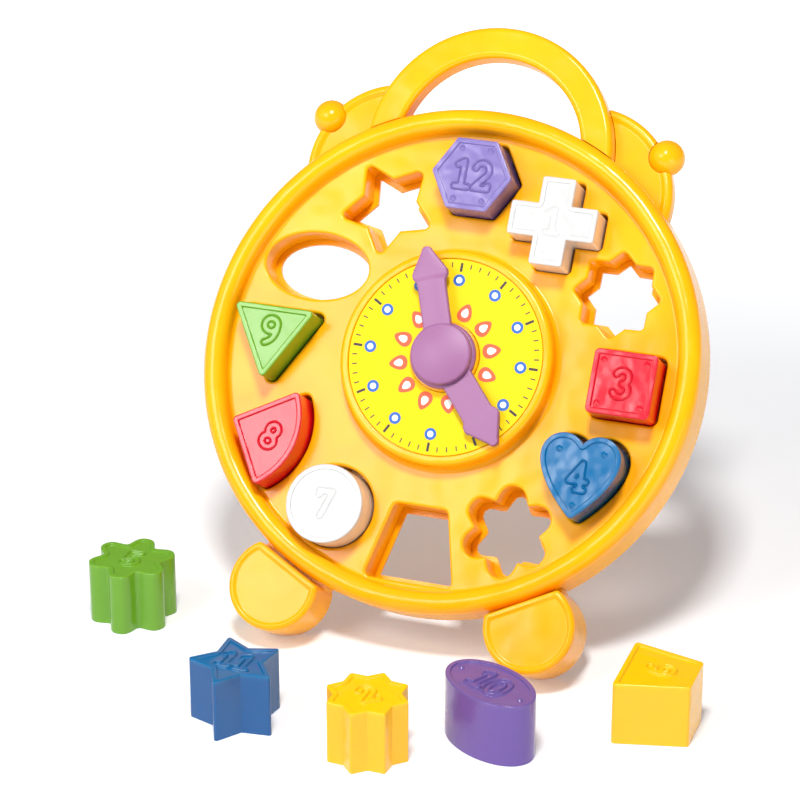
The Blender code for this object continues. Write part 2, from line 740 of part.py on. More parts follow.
def make_rear_shell(parent, finish):
    rim = RING_RADIUS - WALL - CLEARANCE
    plate = cylinder("rear_shell", rim, ledge_depth(), CASE_DEPTH, RING_STEPS)
    shrink = NECK_CLEAR_ANGLE
    tongues = [sector("tongue", rim - OVERRUN, RING_RADIUS - EDGE_ROUND, ledge_depth(), CASE_DEPTH,
                      middle, half - shrink) for middle, half in slot_list()]
    lug_middle = STAND_WIDTH / 2 + CLEARANCE + STAND_LUG_WIDTH / 2
    lugs = []
    depth = stand_hinge_depth()
    for side in (1, -1):
        rings = []
        for x in (side * lug_middle - STAND_LUG_WIDTH / 2, side * lug_middle + STAND_LUG_WIDTH / 2):
            crown = arc((STAND_HINGE_HEIGHT, depth), STAND_LUG_RADIUS, 0, math.pi, 10)
            foot = [(STAND_HINGE_HEIGHT - 2 * STAND_LUG_RADIUS, CASE_DEPTH - BACK_WALL / 2),
                    (STAND_HINGE_HEIGHT + 2 * STAND_LUG_RADIUS, CASE_DEPTH - BACK_WALL / 2)]
            rings.append([(x, y, z) for z, y in crown + foot])
        lugs.append(skin("lug", rings))
    half = lug_middle
    stop = skin("stop", [[(x, y, z) for z, y in stop_outline()] for x in (-half, half)])
    add(plate, weld_group("tongues", tongues), weld_group("lugs", lugs), stop)
    grow = HOLE_PLAY - LEDGE_WIDTH
    openings = hole_group("openings", [(grow, ledge_depth() - OVERRUN), (grow, CASE_DEPTH + OVERRUN)])
    bore = SCREW_RADIUS + CLEARANCE
    drills = [cylinder("drill", bore, ledge_depth() - OVERRUN, CASE_DEPTH + OVERRUN, 12, place)
              for place in boss_places()]
    pin_bore = across_pin("bore", STAND_PIN_RADIUS + CLEARANCE, pin_half_length() + OVERRUN)
    cut(plate, openings, weld_group("drills", drills), pin_bore)
    return finish_piece(plate, finish, parent)


def pin_half_length():
    return STAND_WIDTH / 2 + CLEARANCE + STAND_LUG_WIDTH


def across_pin(name, radius, half_length, height=None, depth=None, steps=20):
    """A round bar along X, through the stand's hinge line unless placed elsewhere."""
    height = STAND_HINGE_HEIGHT if height is None else height
    depth = stand_hinge_depth() if depth is None else depth
    circle = arc((height, depth), radius, 0, 2 * math.pi, steps)[:-1]
    return skin(name, [[(x, y, z) for z, y in circle] for x in (-half_length, half_length)])


def make_screw(name, head_depth):
    """A pan head screw along Y with its head at head_depth and its slot facing back."""
    head = SCREW_HEAD_HEIGHT
    profile = [(0.0, head_depth - SCREW_LENGTH), (SCREW_RADIUS / 2, head_depth - SCREW_LENGTH),
               (SCREW_RADIUS, head_depth - SCREW_LENGTH + SCREW_RADIUS), (SCREW_RADIUS, head_depth),
               (SCREW_HEAD_RADIUS, head_depth), (SCREW_HEAD_RADIUS, head_depth + head / 2),
               (SCREW_HEAD_RADIUS * 2 / 3, head_depth + head), (0.0, head_depth + head)]
    screw = turned(name, profile, 12)
    half = SCREW_SLOT_WIDTH / 2
    reach = SCREW_HEAD_RADIUS + OVERRUN
    back = head_depth + head
    outline = [(-reach, -half), (reach, -half), (reach, half), (-reach, half)]
    rings = [[(x, depth, z) for x, z in outline] for depth in (back - SCREW_SLOT_DEPTH, back + OVERRUN)]
    return cut(screw, skin("slot", rings))


def make_shell_screws(parent, finish):
    for number, place in enumerate(boss_places(), 1):
        screw = make_screw("shell_screw_%d" % number, CASE_DEPTH + CLEARANCE)
        finish_piece(screw, finish, parent, (place[0], 0, place[1]))


def make_face_disc(parent, finish):
    front = disc_face()
    back = front + DISC_THICKNESS
    hole = COLLAR_RADIUS + CLEARANCE
    profile = [(hole, front), (DISC_RADIUS, front), (DISC_RADIUS, back), (hole, back)]
    return finish_piece(turned("face_disc", profile, DRUM_STEPS), finish, parent)


def hand_outline(length, shaft_width, head_width, start):
    """Half of an arrow hand mirrored: straight shaft, short barbs and a round tip."""
    shaft = shaft_width / 2
    head = head_width / 2
    barb = length - HAND_HEAD_LENGTH
    shoulder = head - shaft
    middle = length - HAND_TIP_RADIUS
    slope = math.atan2(middle - barb - 2 * shoulder, head - HAND_TIP_RADIUS)
    tip = arc((0.0, middle), HAND_TIP_RADIUS, math.pi / 2 - slope, math.pi / 2, 3)
    right = [(shaft, start), (shaft, barb - shoulder), (head - shoulder / 2, barb), (head, barb + shoulder)]
    right += tip
    left = [(-x, z) for x, z in reversed(right[:-1])]
    return right + left


def flat_bar(name, outline, front, back, soft):
    """An outline between two depths with a softened front edge, drawn in towards its middle line."""
    middle = sum(z for _, z in outline) / len(outline)
    wide = max(x for x, _ in outline)
    reach = max(abs(z - middle) for _, z in outline)
    rings = []
    for inset, depth in edge_levels(soft, front, 2) + [(0.0, back)]:
        rings.append([(x * (1 - inset / wide), depth, middle + (z - middle) * (1 - inset / reach))
                      for x, z in outline])
    return skin(name, rings)


def hub_profile(radius, bore, front, back):
    edge = [(radius - inset, depth) for inset, depth in edge_levels(2 * EDGE_ROUND, front, 2)]
    return [(bore, front)] + edge + [(radius, back), (bore, back)]


def make_hour_hand(parent, finish):
    _, back, front, _, _ = hand_faces()
    bore = STEM_RADIUS + PIVOT_CLEARANCE
    hand = turned("hour_hand", hub_profile(HOUR_HUB_RADIUS, bore, front, back), 32)
    bar = flat_bar("bar", hand_outline(HOUR_LENGTH, HOUR_SHAFT_WIDTH, HOUR_HEAD_WIDTH,
                                       STEM_RADIUS + HAND_BOSS_WALL),
                   front + HUB_RISE / 2, back, EDGE_ROUND)
    return finish_piece(add(hand, bar), finish, parent, rotation=(0, -HOUR_ANGLE, 0))


def make_minute_hand(parent, finish):
    _, _, _, back, front = hand_faces()
    stem_end = hand_boss_end() + CLEARANCE
    profile = hub_profile(MINUTE_HUB_RADIUS, 0.0, front - HUB_RISE, back)
    profile = profile[:-1] + [(STEM_RADIUS, back), (STEM_RADIUS, stem_end), (0.0, stem_end)]
    hand = turned("minute_hand", profile, 32)
    bar = flat_bar("bar", hand_outline(MINUTE_LENGTH, MINUTE_SHAFT_WIDTH, MINUTE_HEAD_WIDTH,
                                       STEM_RADIUS + HAND_BOSS_WALL), front, back, EDGE_ROUND)
    add(hand, bar)
    pilot = cylinder("pilot", SCREW_RADIUS + CLEARANCE, stem_end - SCREW_LENGTH, stem_end + OVERRUN, 12)
    return finish_piece(cut(hand, pilot), finish, parent, rotation=(0, -MINUTE_ANGLE, 0))


def make_hand_fixing(parent, washer_finish, screw_finish):
    """The washer and screw that hold the minute hand's stem from behind."""
    front = hand_boss_end() + 2 * CLEARANCE
    bore = SCREW_RADIUS + CLEARANCE
    profile = [(bore, front), (WASHER_RADIUS, front), (WASHER_RADIUS, front + WASHER_THICKNESS),
               (bore, front + WASHER_THICKNESS)]
    finish_piece(turned("hand_washer", profile, 24), washer_finish, parent)
    screw = make_screw("hand_screw", front + WASHER_THICKNESS + CLEARANCE)
    finish_piece(screw, screw_finish, parent)


def rim_profile(radius, front, back, soft, rim, recess):
    """Side view of a round cheek: recessed face, raised rim and rounded edge."""
    edge = [(radius - inset, depth) for inset, depth in edge_levels(soft, front)]
    return [(0.0, front + recess), (radius - soft - rim, front + recess),
            (radius - soft - rim + recess, front)] + edge + [(radius, back), (0.0, back)]


def case_cutter(neck_front):
    """The ring that a piece outside the case stays clear of, in front of its neck."""
    return cylinder("case", RING_RADIUS + CLEARANCE, -DRUM_CREST - OVERRUN, neck_front, RING_STEPS)


def flange_middle():
    return RING_RADIUS - WALL - CLEARANCE - FLANGE_WIDTH / 2


def inner_cutter():
    """Trims an outside piece where it has run into its flange."""
    return cylinder("inside", flange_middle(), -OVERRUN, CASE_DEPTH + OVERRUN, RING_STEPS)


def flange(middle, half_angle, front, back, grow=0.0):
    """The wider part of a neck that sits inside the case wall."""
    outer = RING_RADIUS - WALL - CLEARANCE
    return sector("flange", outer - FLANGE_WIDTH - grow, outer + grow, front, back, middle,
                  half_angle + FLANGE_SPREAD + grow / outer, 10)


def neck_front():
    return PANEL_DEPTH + WALL + CLEARANCE


def make_handle(parent, finish):
    soft = HANDLE_ROUND
    back = HANDLE_BACK
    inside = HANDLE_INNER_RADIUS + soft
    outside = HANDLE_OUTER_RADIUS - soft
    right_angle = math.radians(90)
    profile = []
    for turn, middle in enumerate(((inside, HANDLE_FRONT + soft), (outside, HANDLE_FRONT + soft),
                                   (outside, back - soft), (inside, back - soft)), 2):
        profile.extend(arc(middle, soft, turn * right_angle, (turn + 1) * right_angle, 3))
    centre = (0.0, HANDLE_CENTRE_HEIGHT)
    dip = math.radians(4)
    handle = turned("handle", profile, HANDLE_STEPS, -dip, math.pi + 2 * dip, centre)
    cut(handle, case_cutter(neck_front()), inner_cutter())
    arm_start, arm_end, _ = neck_span()
    half = (arm_end - arm_start) / 2
    for side in (1, -1):
        middle = clock_angle(side * (arm_start + arm_end) / 2)
        add(handle, flange(middle, half, neck_front(), back))
    return finish_piece(handle, finish, parent)


def arch_cutter(name, inner, outer, front, back):
    profile = [(inner, front), (outer, front), (outer, back), (inner, back)]
    if inner == 0.0:
        return cylinder(name, outer, front, back, RING_STEPS, (0.0, HANDLE_CENTRE_HEIGHT))
    return turned(name, profile, RING_STEPS, centre=(0.0, HANDLE_CENTRE_HEIGHT))


def make_bell(side, parent, finish):
    """A round cheek tucked in behind the handle, with a neck into the case and a knob socket."""
    back = BELL_BACK
    profile = rim_profile(BELL_RADIUS, BELL_FRONT, back, BELL_ROUND, BELL_RIM_WIDTH, BELL_RECESS)
    name = "right_bell" if side > 0 else "left_bell"
    bell = turned(name, profile, 48, centre=(side * BELL_OFFSET, BELL_HEIGHT))
    handle_back = HANDLE_BACK + CLEARANCE
    inside = arch_cutter("within", 0.0, HANDLE_INNER_RADIUS + BELL_OVERLAP, 0.0, CASE_DEPTH)
    notch = arch_cutter("notch", HANDLE_INNER_RADIUS, HANDLE_OUTER_RADIUS + CLEARANCE, 0.0, handle_back)
    cut(bell, inside, notch, case_cutter(neck_front()), inner_cutter())
    arm_start, arm_end, bell_end = neck_span()
    trim = flange(clock_angle(side * (arm_start + arm_end) / 2), (arm_end - arm_start) / 2, 0.0,
                  handle_back, 2 * CLEARANCE)
    cut(bell, trim)
    middle = clock_angle(side * (arm_start + bell_end) / 2)
    half = (bell_end - arm_start) / 2
    neck = sector("neck", flange_middle(), RING_RADIUS + CLEARANCE / 2, handle_back + CLEARANCE,
                  seat_depth() - CLEARANCE, middle, half - CLEARANCE / RING_RADIUS)
    add(bell, flange(middle, half, handle_back, seat_depth()), neck)
    cut(bell, ball("socket", KNOB_RADIUS + CLEARANCE, side), knob_pin("bore", side, CLEARANCE))
    return finish_piece(bell, finish, parent)


def knob_place(side):
    return (side * (BELL_OFFSET + BELL_RADIUS * math.cos(KNOB_ANGLE)),
            BELL_HEIGHT + BELL_RADIUS * math.sin(KNOB_ANGLE))


def knob_depth():
    return (BELL_FRONT + BELL_BACK) / 2


def ball(name, radius, side):
    rows = 12
    profile = [(radius * math.sin(math.pi * i / rows), knob_depth() - radius * math.cos(math.pi * i / rows))
               for i in range(rows + 1)]
    profile[0] = (0.0, profile[0][1])
    profile[-1] = (0.0, profile[-1][1])
    return turned(name, profile, 20, centre=knob_place(side))


def knob_pin(name, side, grow):
    """The pin that runs from a knob towards its bell's centre."""
    place = knob_place(side)
    inward = Vector((-side * math.cos(KNOB_ANGLE), -math.sin(KNOB_ANGLE)))
    across = Vector((-inward.y, inward.x))
    radius = KNOB_PIN_RADIUS + grow
    rings = []
    for run in (KNOB_RADIUS / 2, KNOB_RADIUS + KNOB_PIN_LENGTH + grow):
        middle = Vector(place) + inward * run
        ring = []
        for shift, depth in arc((0.0, knob_depth()), radius, 0, 2 * math.pi, 14)[:-1]:
            spot = middle + across * shift
            ring.append((spot.x, depth, spot.y))
        rings.append(ring)
    return skin(name, rings)


def make_knob(side, parent, finish):
    name = "right_bell_knob" if side > 0 else "left_bell_knob"
    knob = add(ball(name, KNOB_RADIUS, side), knob_pin("pin", side, 0.0))
    return finish_piece(knob, finish, parent)


def make_foot(side, parent, finish):
    """A D-shaped foot with a rimmed face, a neck through the case wall and a level sole."""
    distance = RING_RADIUS + FOOT_CHORD_GAP + FOOT_CHORD_DROP
    centre = Vector((side * distance * math.sin(FOOT_ANGLE), -distance * math.cos(FOOT_ANGLE)))
    turn = Matrix.Rotation(side * FOOT_ANGLE, 2)
    half = math.acos(FOOT_CHORD_DROP / FOOT_RADIUS)
    corners = arc((0.0, 0.0), FOOT_RADIUS, math.pi / 2 + half, 2.5 * math.pi - half, 26)
    outline = [tuple(turn @ Vector(corner)) for corner in corners]
    face = FOOT_ROUND + FOOT_RIM_WIDTH
    levels = [(-face - FOOT_RECESS, FOOT_RECESS), (-face, 0.0)]
    levels += [(-inset, depth) for inset, depth in edge_levels(FOOT_ROUND, 0.0)]
    levels.append((0.0, CASE_DEPTH))
    name = "right_foot" if side > 0 else "left_foot"
    foot = skin(name, [outline_ring(offset_outline(outline, grow), depth, centre)
                       for grow, depth in levels])
    middle = clock_angle(side * (math.pi - FOOT_ANGLE))
    neck = sector("neck", flange_middle(), distance - FOOT_CHORD_DROP / 2, neck_front() + CLEARANCE,
                  seat_depth() - CLEARANCE, middle, FOOT_NECK_SPREAD, 8)
    add(foot, neck, flange(middle, FOOT_NECK_SPREAD, neck_front(), seat_depth()))
    cut(foot, floor_cutter("floor"))
    return finish_piece(foot, finish, parent)


def floor_cutter(name):
    """Everything below the floor, in the clock's own frame."""
    lean = Matrix.Rotation(LEAN_ANGLE, 4, "X")
    reach = 2 * RING_RADIUS
    corners = [(-reach, -reach), (reach, -reach), (reach, reach), (-reach, reach)]
    rings = []
    for height in (-FLOOR_DROP, -FLOOR_DROP - reach):
        rings.append([tuple(lean @ Vector((x, y, height))) for x, y in corners])
    return skin(name, rings)


def stand_floor_distance():
    """From the hinge line to the floor along the open leg."""
    height = FLOOR_DROP + STAND_HINGE_HEIGHT * math.cos(LEAN_ANGLE)
    height -= stand_hinge_depth() * math.sin(LEAN_ANGLE)
    return height / math.cos(STAND_OPEN_ANGLE - LEAN_ANGLE)


def make_stand(parent, finish):
    """The prop leg, hanging down from its hinge line in its own frame, with a hollow back."""
    half = STAND_WIDTH / 2
    thick = STAND_THICKNESS / 2
    length = stand_floor_distance() + STAND_TOE
    soft = EDGE_ROUND * 2
    section = rounded([(half, -thick), (half, thick), (-half, thick), (-half, -thick)], soft)
    leg = skin("rear_stand", [[(x, y, z) for x, y in section] for z in (0.0, -length)])
    add(leg, across_pin("barrel", STAND_BARREL_RADIUS, half, 0.0, 0.0, 24))
    wall = STAND_POCKET_WALL
    top, bottom = -STAND_POCKET_END, -stand_floor_distance() + STAND_POCKET_END
    pocket = rounded([(half - wall, bottom), (half - wall, top), (wall - half, top), (wall - half, bottom)],
                     wall / 2)
    cut(leg, skin("pocket", [[(x, y, z) for x, z in pocket] for y in (wall - thick, thick + OVERRUN)]))
    cut(leg, across_pin("bore", STAND_PIN_RADIUS + PIVOT_CLEARANCE, half + OVERRUN, 0.0, 0.0))
    tilt = Matrix.Rotation(LEAN_ANGLE - STAND_OPEN_ANGLE, 4, "X")
    level = stand_floor_distance() * math.cos(STAND_OPEN_ANGLE - LEAN_ANGLE)
    reach = length
    rings = []
    for height in (-level, -level - reach):
        corners = [(-reach, -reach), (reach, -reach), (reach, reach), (-reach, reach)]
        rings.append([tuple(tilt @ Vector((x, y, height))) for x, y in corners])
    cut(leg, skin("floor", rings))
    return finish_piece(leg, finish, parent)


def make_block(hour, finish, parent, location, rotation):
    """A hollow block, its face at -Y and its open end at Y zero."""
    shape, outline, _ = SHAPES[hour]
    top = -BLOCK_HEIGHT
    edge, rim, recess = BLOCK_EDGE, BLOCK_RIM_WIDTH, BLOCK_RECESS
    levels = [(-BLOCK_WALL, top + recess + BLOCK_WALL), (-BLOCK_WALL, 0.0), (0.0, 0.0), (0.0, top + edge),
              (-edge, top), (-rim, top), (-rim - recess / 3, top + recess)]
    name = "block_%d_%s" % (hour, shape)
    block = skin(name, [outline_ring(outline(grow), depth) for grow, depth in levels])
    return finish_piece(block, finish, parent, location, rotation)


def make_blocks(clock, floor, finishes):
    for hour, (_, _, colour) in SHAPES.items():
        finish = finishes[colour]
        if hour in LOOSE_PLACE_SHARES:
            across, ahead, degrees = LOOSE_PLACE_SHARES[hour]
            place = (across * RING_RADIUS, ahead * RING_RADIUS, 0)
            turn = (math.radians(-90), 0, math.radians(degrees))
            make_block(hour, finish, floor, place, turn)
        else:
            x, z = hole_place(hour)
            make_block(hour, finish, clock, (x, seat_depth(), z - SEAT_DROP), (0, 0, 0))


def stand_on_origin(root):
    """Shift the whole set so that the floor is at zero under the middle of its box."""
    bpy.context.view_layer.update()
    corners = []
    for piece in bpy.data.objects:
        if piece.type == "MESH":
            place = piece.matrix_world
            corners.extend(place @ vertex.co for vertex in piece.data.vertices)
    low = [min(corner[i] for corner in corners) for i in range(3)]
    high = [max(corner[i] for corner in corners) for i in range(3)]
    root.location = (-(low[0] + high[0]) / 2, -(low[1] + high[1]) / 2, -low[2])
    bpy.context.view_layer.update()


def main():
    clear_scene()
    yellow = material("yellow plastic", YELLOW, 0.32)
    lemon = material("lemon card", LEMON, 0.40)
    lilac = material("lilac plastic", LILAC, 0.38)
    steel = material("steel", STEEL, 0.30, 1.0)
    nylon = material("white nylon", WHITE, 0.45)
    block_finishes = {colour: material("block plastic", colour, 0.35)
                      for colour in (WHITE, YELLOW, RED, BLUE, GREEN, PURPLE, LAVENDER)}
    toy = empty("toy")
    clock = empty("clock", toy, (0, 0, FLOOR_DROP), (-LEAN_ANGLE, 0, 0))
    make_front_shell(clock, yellow)
    make_rear_shell(clock, yellow)
    make_shell_screws(clock, steel)
    make_face_disc(clock, lemon)
    make_handle(clock, yellow)
    for side in (-1, 1):
        make_bell(side, clock, yellow)
        make_knob(side, clock, yellow)
        make_foot(side, clock, yellow)
    hour_axis = empty("hour_hand_axis", clock)
    minute_axis = empty("minute_hand_axis", clock)
    make_hour_hand(hour_axis, lilac)
    make_minute_hand(minute_axis, lilac)
    make_hand_fixing(minute_axis, nylon, steel)
    hinge = empty("stand_hinge_axis", clock, (0, stand_hinge_depth(), STAND_HINGE_HEIGHT),
                  (STAND_OPEN_ANGLE, 0, 0))
    make_stand(hinge, yellow)
    pin = across_pin("stand_hinge_pin", STAND_PIN_RADIUS, pin_half_length())
    finish_piece(pin, steel, clock)
    make_blocks(clock, toy, block_finishes)
    stand_on_origin(toy)


main()
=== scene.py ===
"""Looks of the learning clock toy: moulded plastic case, printed dial, hands and twelve shape blocks.

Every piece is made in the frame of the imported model, in metres. Pieces of the clock are made flat,
X to the right, Z up the dial and Y back into the case, and the matrix CLOCK leans them back.
"""

import json
import math

import bmesh
import bpy
import numpy
from bpy.props import FloatProperty, FloatVectorProperty, PointerProperty
from mathutils import Matrix, Vector

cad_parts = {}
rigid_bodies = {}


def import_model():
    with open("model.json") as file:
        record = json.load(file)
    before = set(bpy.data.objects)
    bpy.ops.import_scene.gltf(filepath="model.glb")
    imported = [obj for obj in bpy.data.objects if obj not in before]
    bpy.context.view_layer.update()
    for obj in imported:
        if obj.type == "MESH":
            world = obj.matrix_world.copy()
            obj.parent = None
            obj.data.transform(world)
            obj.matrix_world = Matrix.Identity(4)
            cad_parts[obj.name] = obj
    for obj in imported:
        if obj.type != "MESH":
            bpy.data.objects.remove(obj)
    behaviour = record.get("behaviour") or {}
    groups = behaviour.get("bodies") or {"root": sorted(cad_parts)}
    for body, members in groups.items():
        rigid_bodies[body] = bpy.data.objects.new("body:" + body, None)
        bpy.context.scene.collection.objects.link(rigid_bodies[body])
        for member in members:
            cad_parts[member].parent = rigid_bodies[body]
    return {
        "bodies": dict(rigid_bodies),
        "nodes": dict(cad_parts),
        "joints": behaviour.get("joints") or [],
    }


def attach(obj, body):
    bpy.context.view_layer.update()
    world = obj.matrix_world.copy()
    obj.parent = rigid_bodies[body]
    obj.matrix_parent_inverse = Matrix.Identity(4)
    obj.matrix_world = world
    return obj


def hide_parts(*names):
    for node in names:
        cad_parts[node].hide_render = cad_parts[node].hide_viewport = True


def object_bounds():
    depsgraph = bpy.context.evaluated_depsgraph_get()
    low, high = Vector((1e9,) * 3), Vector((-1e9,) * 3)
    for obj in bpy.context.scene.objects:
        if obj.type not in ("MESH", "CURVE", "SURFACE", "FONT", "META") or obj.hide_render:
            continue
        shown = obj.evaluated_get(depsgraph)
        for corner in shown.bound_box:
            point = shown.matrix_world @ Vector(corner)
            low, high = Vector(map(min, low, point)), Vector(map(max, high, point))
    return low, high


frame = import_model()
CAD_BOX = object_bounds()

bl_info = {
    "name": "Learning clock toy",
    "version": (1, 0, 0),
    "blender": (4, 5, 0),
    "location": "View3D > Sidebar > Learning clock",
    "description": "Builds the finish, the printed dial and the numbered blocks of a learning clock toy",
    "category": "Add Mesh",
}


def joint(name):
    return next(item for item in frame["joints"] if item["name"] == name)


DIAL_CENTRE = Vector(joint("hour_hand_turn")["pos_m"])
DIAL_NORMAL = Vector(joint("hour_hand_turn")["axis"]).normalized()
LEAN = math.atan2(DIAL_NORMAL.z, -DIAL_NORMAL.y)
CLOCK = Matrix.Translation(DIAL_CENTRE) @ Matrix.Rotation(-LEAN, 4, "X")
RIGHT_ANGLE = math.radians(90)
FULL_TURN = 4 * RIGHT_ANGLE
# Edges that turn by more than this stay sharp
SHARP = math.radians(32)
# The same for the thin card and ink of the dial
PRINT_SHARP = math.radians(20)
# Faces whose directions differ by less than this lie in one plane
FLAT = math.radians(0.7)
# Corners closer than this are made one
WELD = 0.000004
# How far a cutting tool runs past what it cuts, and how far it stands in front of the dial
PAST = 0.003
AHEAD = 0.010
# The corners of a square whose half side is one
SQUARE = ((-1, -1), (1, -1), (1, 1), (-1, 1))


def size(name, default, description):
    return FloatProperty(name=name, description=description, default=default, unit="LENGTH", precision=5)


def turn(name, degrees, description):
    return FloatProperty(name=name, description=description, default=math.radians(degrees),
                         subtype="ANGLE")


def colour(name, default, description):
    return FloatVectorProperty(name=name, description=description, default=default, size=3,
                               subtype="COLOR", min=0, max=1)


class ClockCaseSizes(bpy.types.PropertyGroup):
    """Sizes of the case front, its block holes and its drum"""

    radius: size("Case radius", 0.1300, "Outside radius of the case")
    depth: size("Case depth", 0.0290, "Depth of the case behind the crest of its bead")
    wall: size("Wall", 0.0025, "Wall thickness of the front shell")
    back_wall: size("Back wall", 0.0020, "Thickness of the rear shell")
    bead_width: size("Bead width", 0.0118, "Width of the round bead about the dial panel")
    bead_rise: size("Bead rise", 0.0060, "Height of the bead above its widest line")
    bead_foot: size("Bead foot", 0.0018, "Radius where the bead meets the dial panel")
    panel: size("Panel depth", 0.0100, "Depth of the dial panel behind the crest of the bead")
    edge: size("Edge round", 0.0006, "Radius along small edges")
    drum_radius: size("Drum radius", 0.0555, "Radius of the raised drum in the middle")
    drum_round: size("Drum round", 0.0027, "Radius along the drum's crest and at its foot")
    drum_crest: size("Drum crest", 0.0007, "Height of the drum above the bead's crest")
    collar_rise: size("Collar rise", 0.0023, "Height of the boss under the hands above the disc")
    clearance: size("Clearance", 0.0003, "Gap between pieces that touch")
    hole_play: size("Hole play", 0.0011, "Gap all round a block in its hole")
    hole_round: size("Hole lip round", 0.0016, "Radius along the lip of a block hole")
    hole_wall: size("Hole wall", 0.0012, "Thickness of the walls that line the holes")
    ring: size("Hole ring", 0.0913, "Radius of the ring of hole middles")


class ClockTrimSizes(bpy.types.PropertyGroup):
    """Sizes of the handle, the bells, their knobs and the feet"""

    flange: size("Flange width", 0.0034, "Width of the flanges inside the case wall")
    flange_spread: turn("Flange spread", 2.2, "How far a flange reaches past its neck")
    handle_centre: size("Handle centre", 0.1100, "Height of the handle arch's centre on the dial")
    handle_inner: size("Handle inside", 0.0484, "Inner radius of the handle arch")
    handle_outer: size("Handle outside", 0.0646, "Outer radius of the handle arch")
    handle_front: size("Handle front", 0.0045, "Depth of the handle's front")
    handle_back: size("Handle back", 0.0187, "Depth of the handle's back")
    handle_round: size("Handle round", 0.0030, "Radius along the handle's edges")
    bell_radius: size("Bell radius", 0.0466, "Radius of a bell")
    bell_across: size("Bell across", 0.0509, "A bell's centre from the clock's middle line")
    bell_up: size("Bell height", 0.0945, "Height of a bell's centre on the dial")
    bell_front: size("Bell front", 0.0140, "Depth of a bell's rim")
    bell_back: size("Bell back", 0.0230, "Depth of a bell's back")
    bell_round: size("Bell round", 0.0030, "Radius along a bell's outer edge")
    bell_rim: size("Bell rim", 0.0062, "Width of a bell's rounded rim")
    bell_recess: size("Bell recess", 0.0012, "Depth of a bell's face below its rim")
    bell_overlap: size("Bell overlap", 0.0040, "How far a bell runs in behind the handle")
    knob_radius: size("Knob radius", 0.0092, "Radius of a bell's ball knob")
    knob_angle: turn("Knob angle", 32.4, "Turn of a knob about its bell, up from level")
    knob_pin: size("Knob pin radius", 0.0022, "Radius of the pin that holds a knob")
    knob_pin_length: size("Knob pin length", 0.0070, "Length of a knob's pin in the bell")
    foot_radius: size("Foot radius", 0.0234, "Radius of a foot's round side")
    foot_angle: turn("Foot angle", 27.9, "Turn of a foot about the dial's centre from straight down")
    foot_distance: size("Foot distance", 0.1441, "A foot's centre from the dial's centre")
    foot_drop: size("Foot drop", 0.0131, "A foot's centre beyond its straight side")
    foot_round: size("Foot round", 0.0022, "Radius along a foot's outer edge")
    foot_rim: size("Foot rim", 0.0042, "Width of a foot's rounded rim")
    foot_recess: size("Foot recess", 0.0009, "Depth of a foot's face below its rim")
    foot_spread: turn("Foot neck spread", 8.5, "Half the angle that a foot's neck spans")


class ClockDialSizes(bpy.types.PropertyGroup):
    """Sizes of the printed disc and of the ticks, dots and petals on it"""

    disc_radius: size("Disc radius", 0.0505, "Radius of the printed disc")
    disc_face: size("Disc face", -0.0003, "Depth of the printed face behind the crest of the bead")
    disc_thickness: size("Disc thickness", 0.0010, "Thickness of the printed disc")
    collar_radius: size("Collar radius", 0.0180, "Radius of the boss under the hands")
    ink: size("Ink", 0.00006, "Thickness of the printed ink")
    tick_radius: size("Tick radius", 0.0488, "Outer end of the minute ticks")
    tick_length: size("Tick length", 0.0026, "Length of a minute tick")
    hour_tick_length: size("Hour tick length", 0.0046, "Length of an hour tick")
    tick_width: size("Tick width", 0.0006, "Width of a minute tick")
    hour_tick_width: size("Hour tick width", 0.0013, "Width of an hour tick")
    dot_ring: size("Dot ring", 0.0398, "Distance of the hour dots from the centre")
    dot_radius: size("Dot radius", 0.0031, "Radius of an hour dot")
    petal_start: size("Petal start", 0.0196, "Inner end of the sun petals")
    petal_end: size("Petal end", 0.0292, "Outer end of the sun petals")
    petal_width: size("Petal width", 0.0072, "Width of a sun petal")


class ClockHandSizes(bpy.types.PropertyGroup):
    """Sizes of the two hands"""

    thickness: size("Thickness", 0.0030, "Thickness of a hand")
    soft: size("Edge round", 0.0010, "Radius along the front edges of a hand")
    crown: size("Crown", 0.0005, "How far a hand's middle stands above its edges")
    head_length: size("Head length", 0.0165, "Length of the arrow head")
    head_lift: size("Head lift", 0.0003, "How far the arrow head stands above the shaft")
    tip_radius: size("Tip radius", 0.0028, "Radius of the arrow's tip")
    hub_rise: size("Hub rise", 0.0010, "How far a hub's edge stands above its shaft")
    hub_dome: size("Hub dome", 0.0016, "How far the middle of the front hub is domed")
    hub_round: size("Hub round", 0.0016, "Radius along the front edge of a hub")
    hour_back: size("Hour hand back", -0.0029, "Depth of the hour hand's back")
    hour_hub: size("Hour hub radius", 0.0170, "Radius of the hour hand's hub")
    hour_length: size("Hour hand length", 0.0543, "Length of the hour hand")
    hour_shaft: size("Hour shaft width", 0.0164, "Width of the hour hand's shaft")
    hour_head: size("Hour head width", 0.0200, "Width of the hour hand's head")
    hour_angle: turn("Hour angle", -139.0, "Turn of the hour hand from the top, clockwise")
    minute_back: size("Minute hand back", -0.0062, "Depth of the minute hand's back")
    minute_hub: size("Minute hub radius", 0.0157, "Radius of the minute hand's hub")
    minute_length: size("Minute hand length", 0.0562, "Length of the minute hand")
    minute_shaft: size("Minute shaft width", 0.0146, "Width of the minute hand's shaft")
    minute_head: size("Minute head width", 0.0184, "Width of the minute hand's head")
    minute_angle: turn("Minute angle", 18.6, "Turn of the minute hand from the top, clockwise")


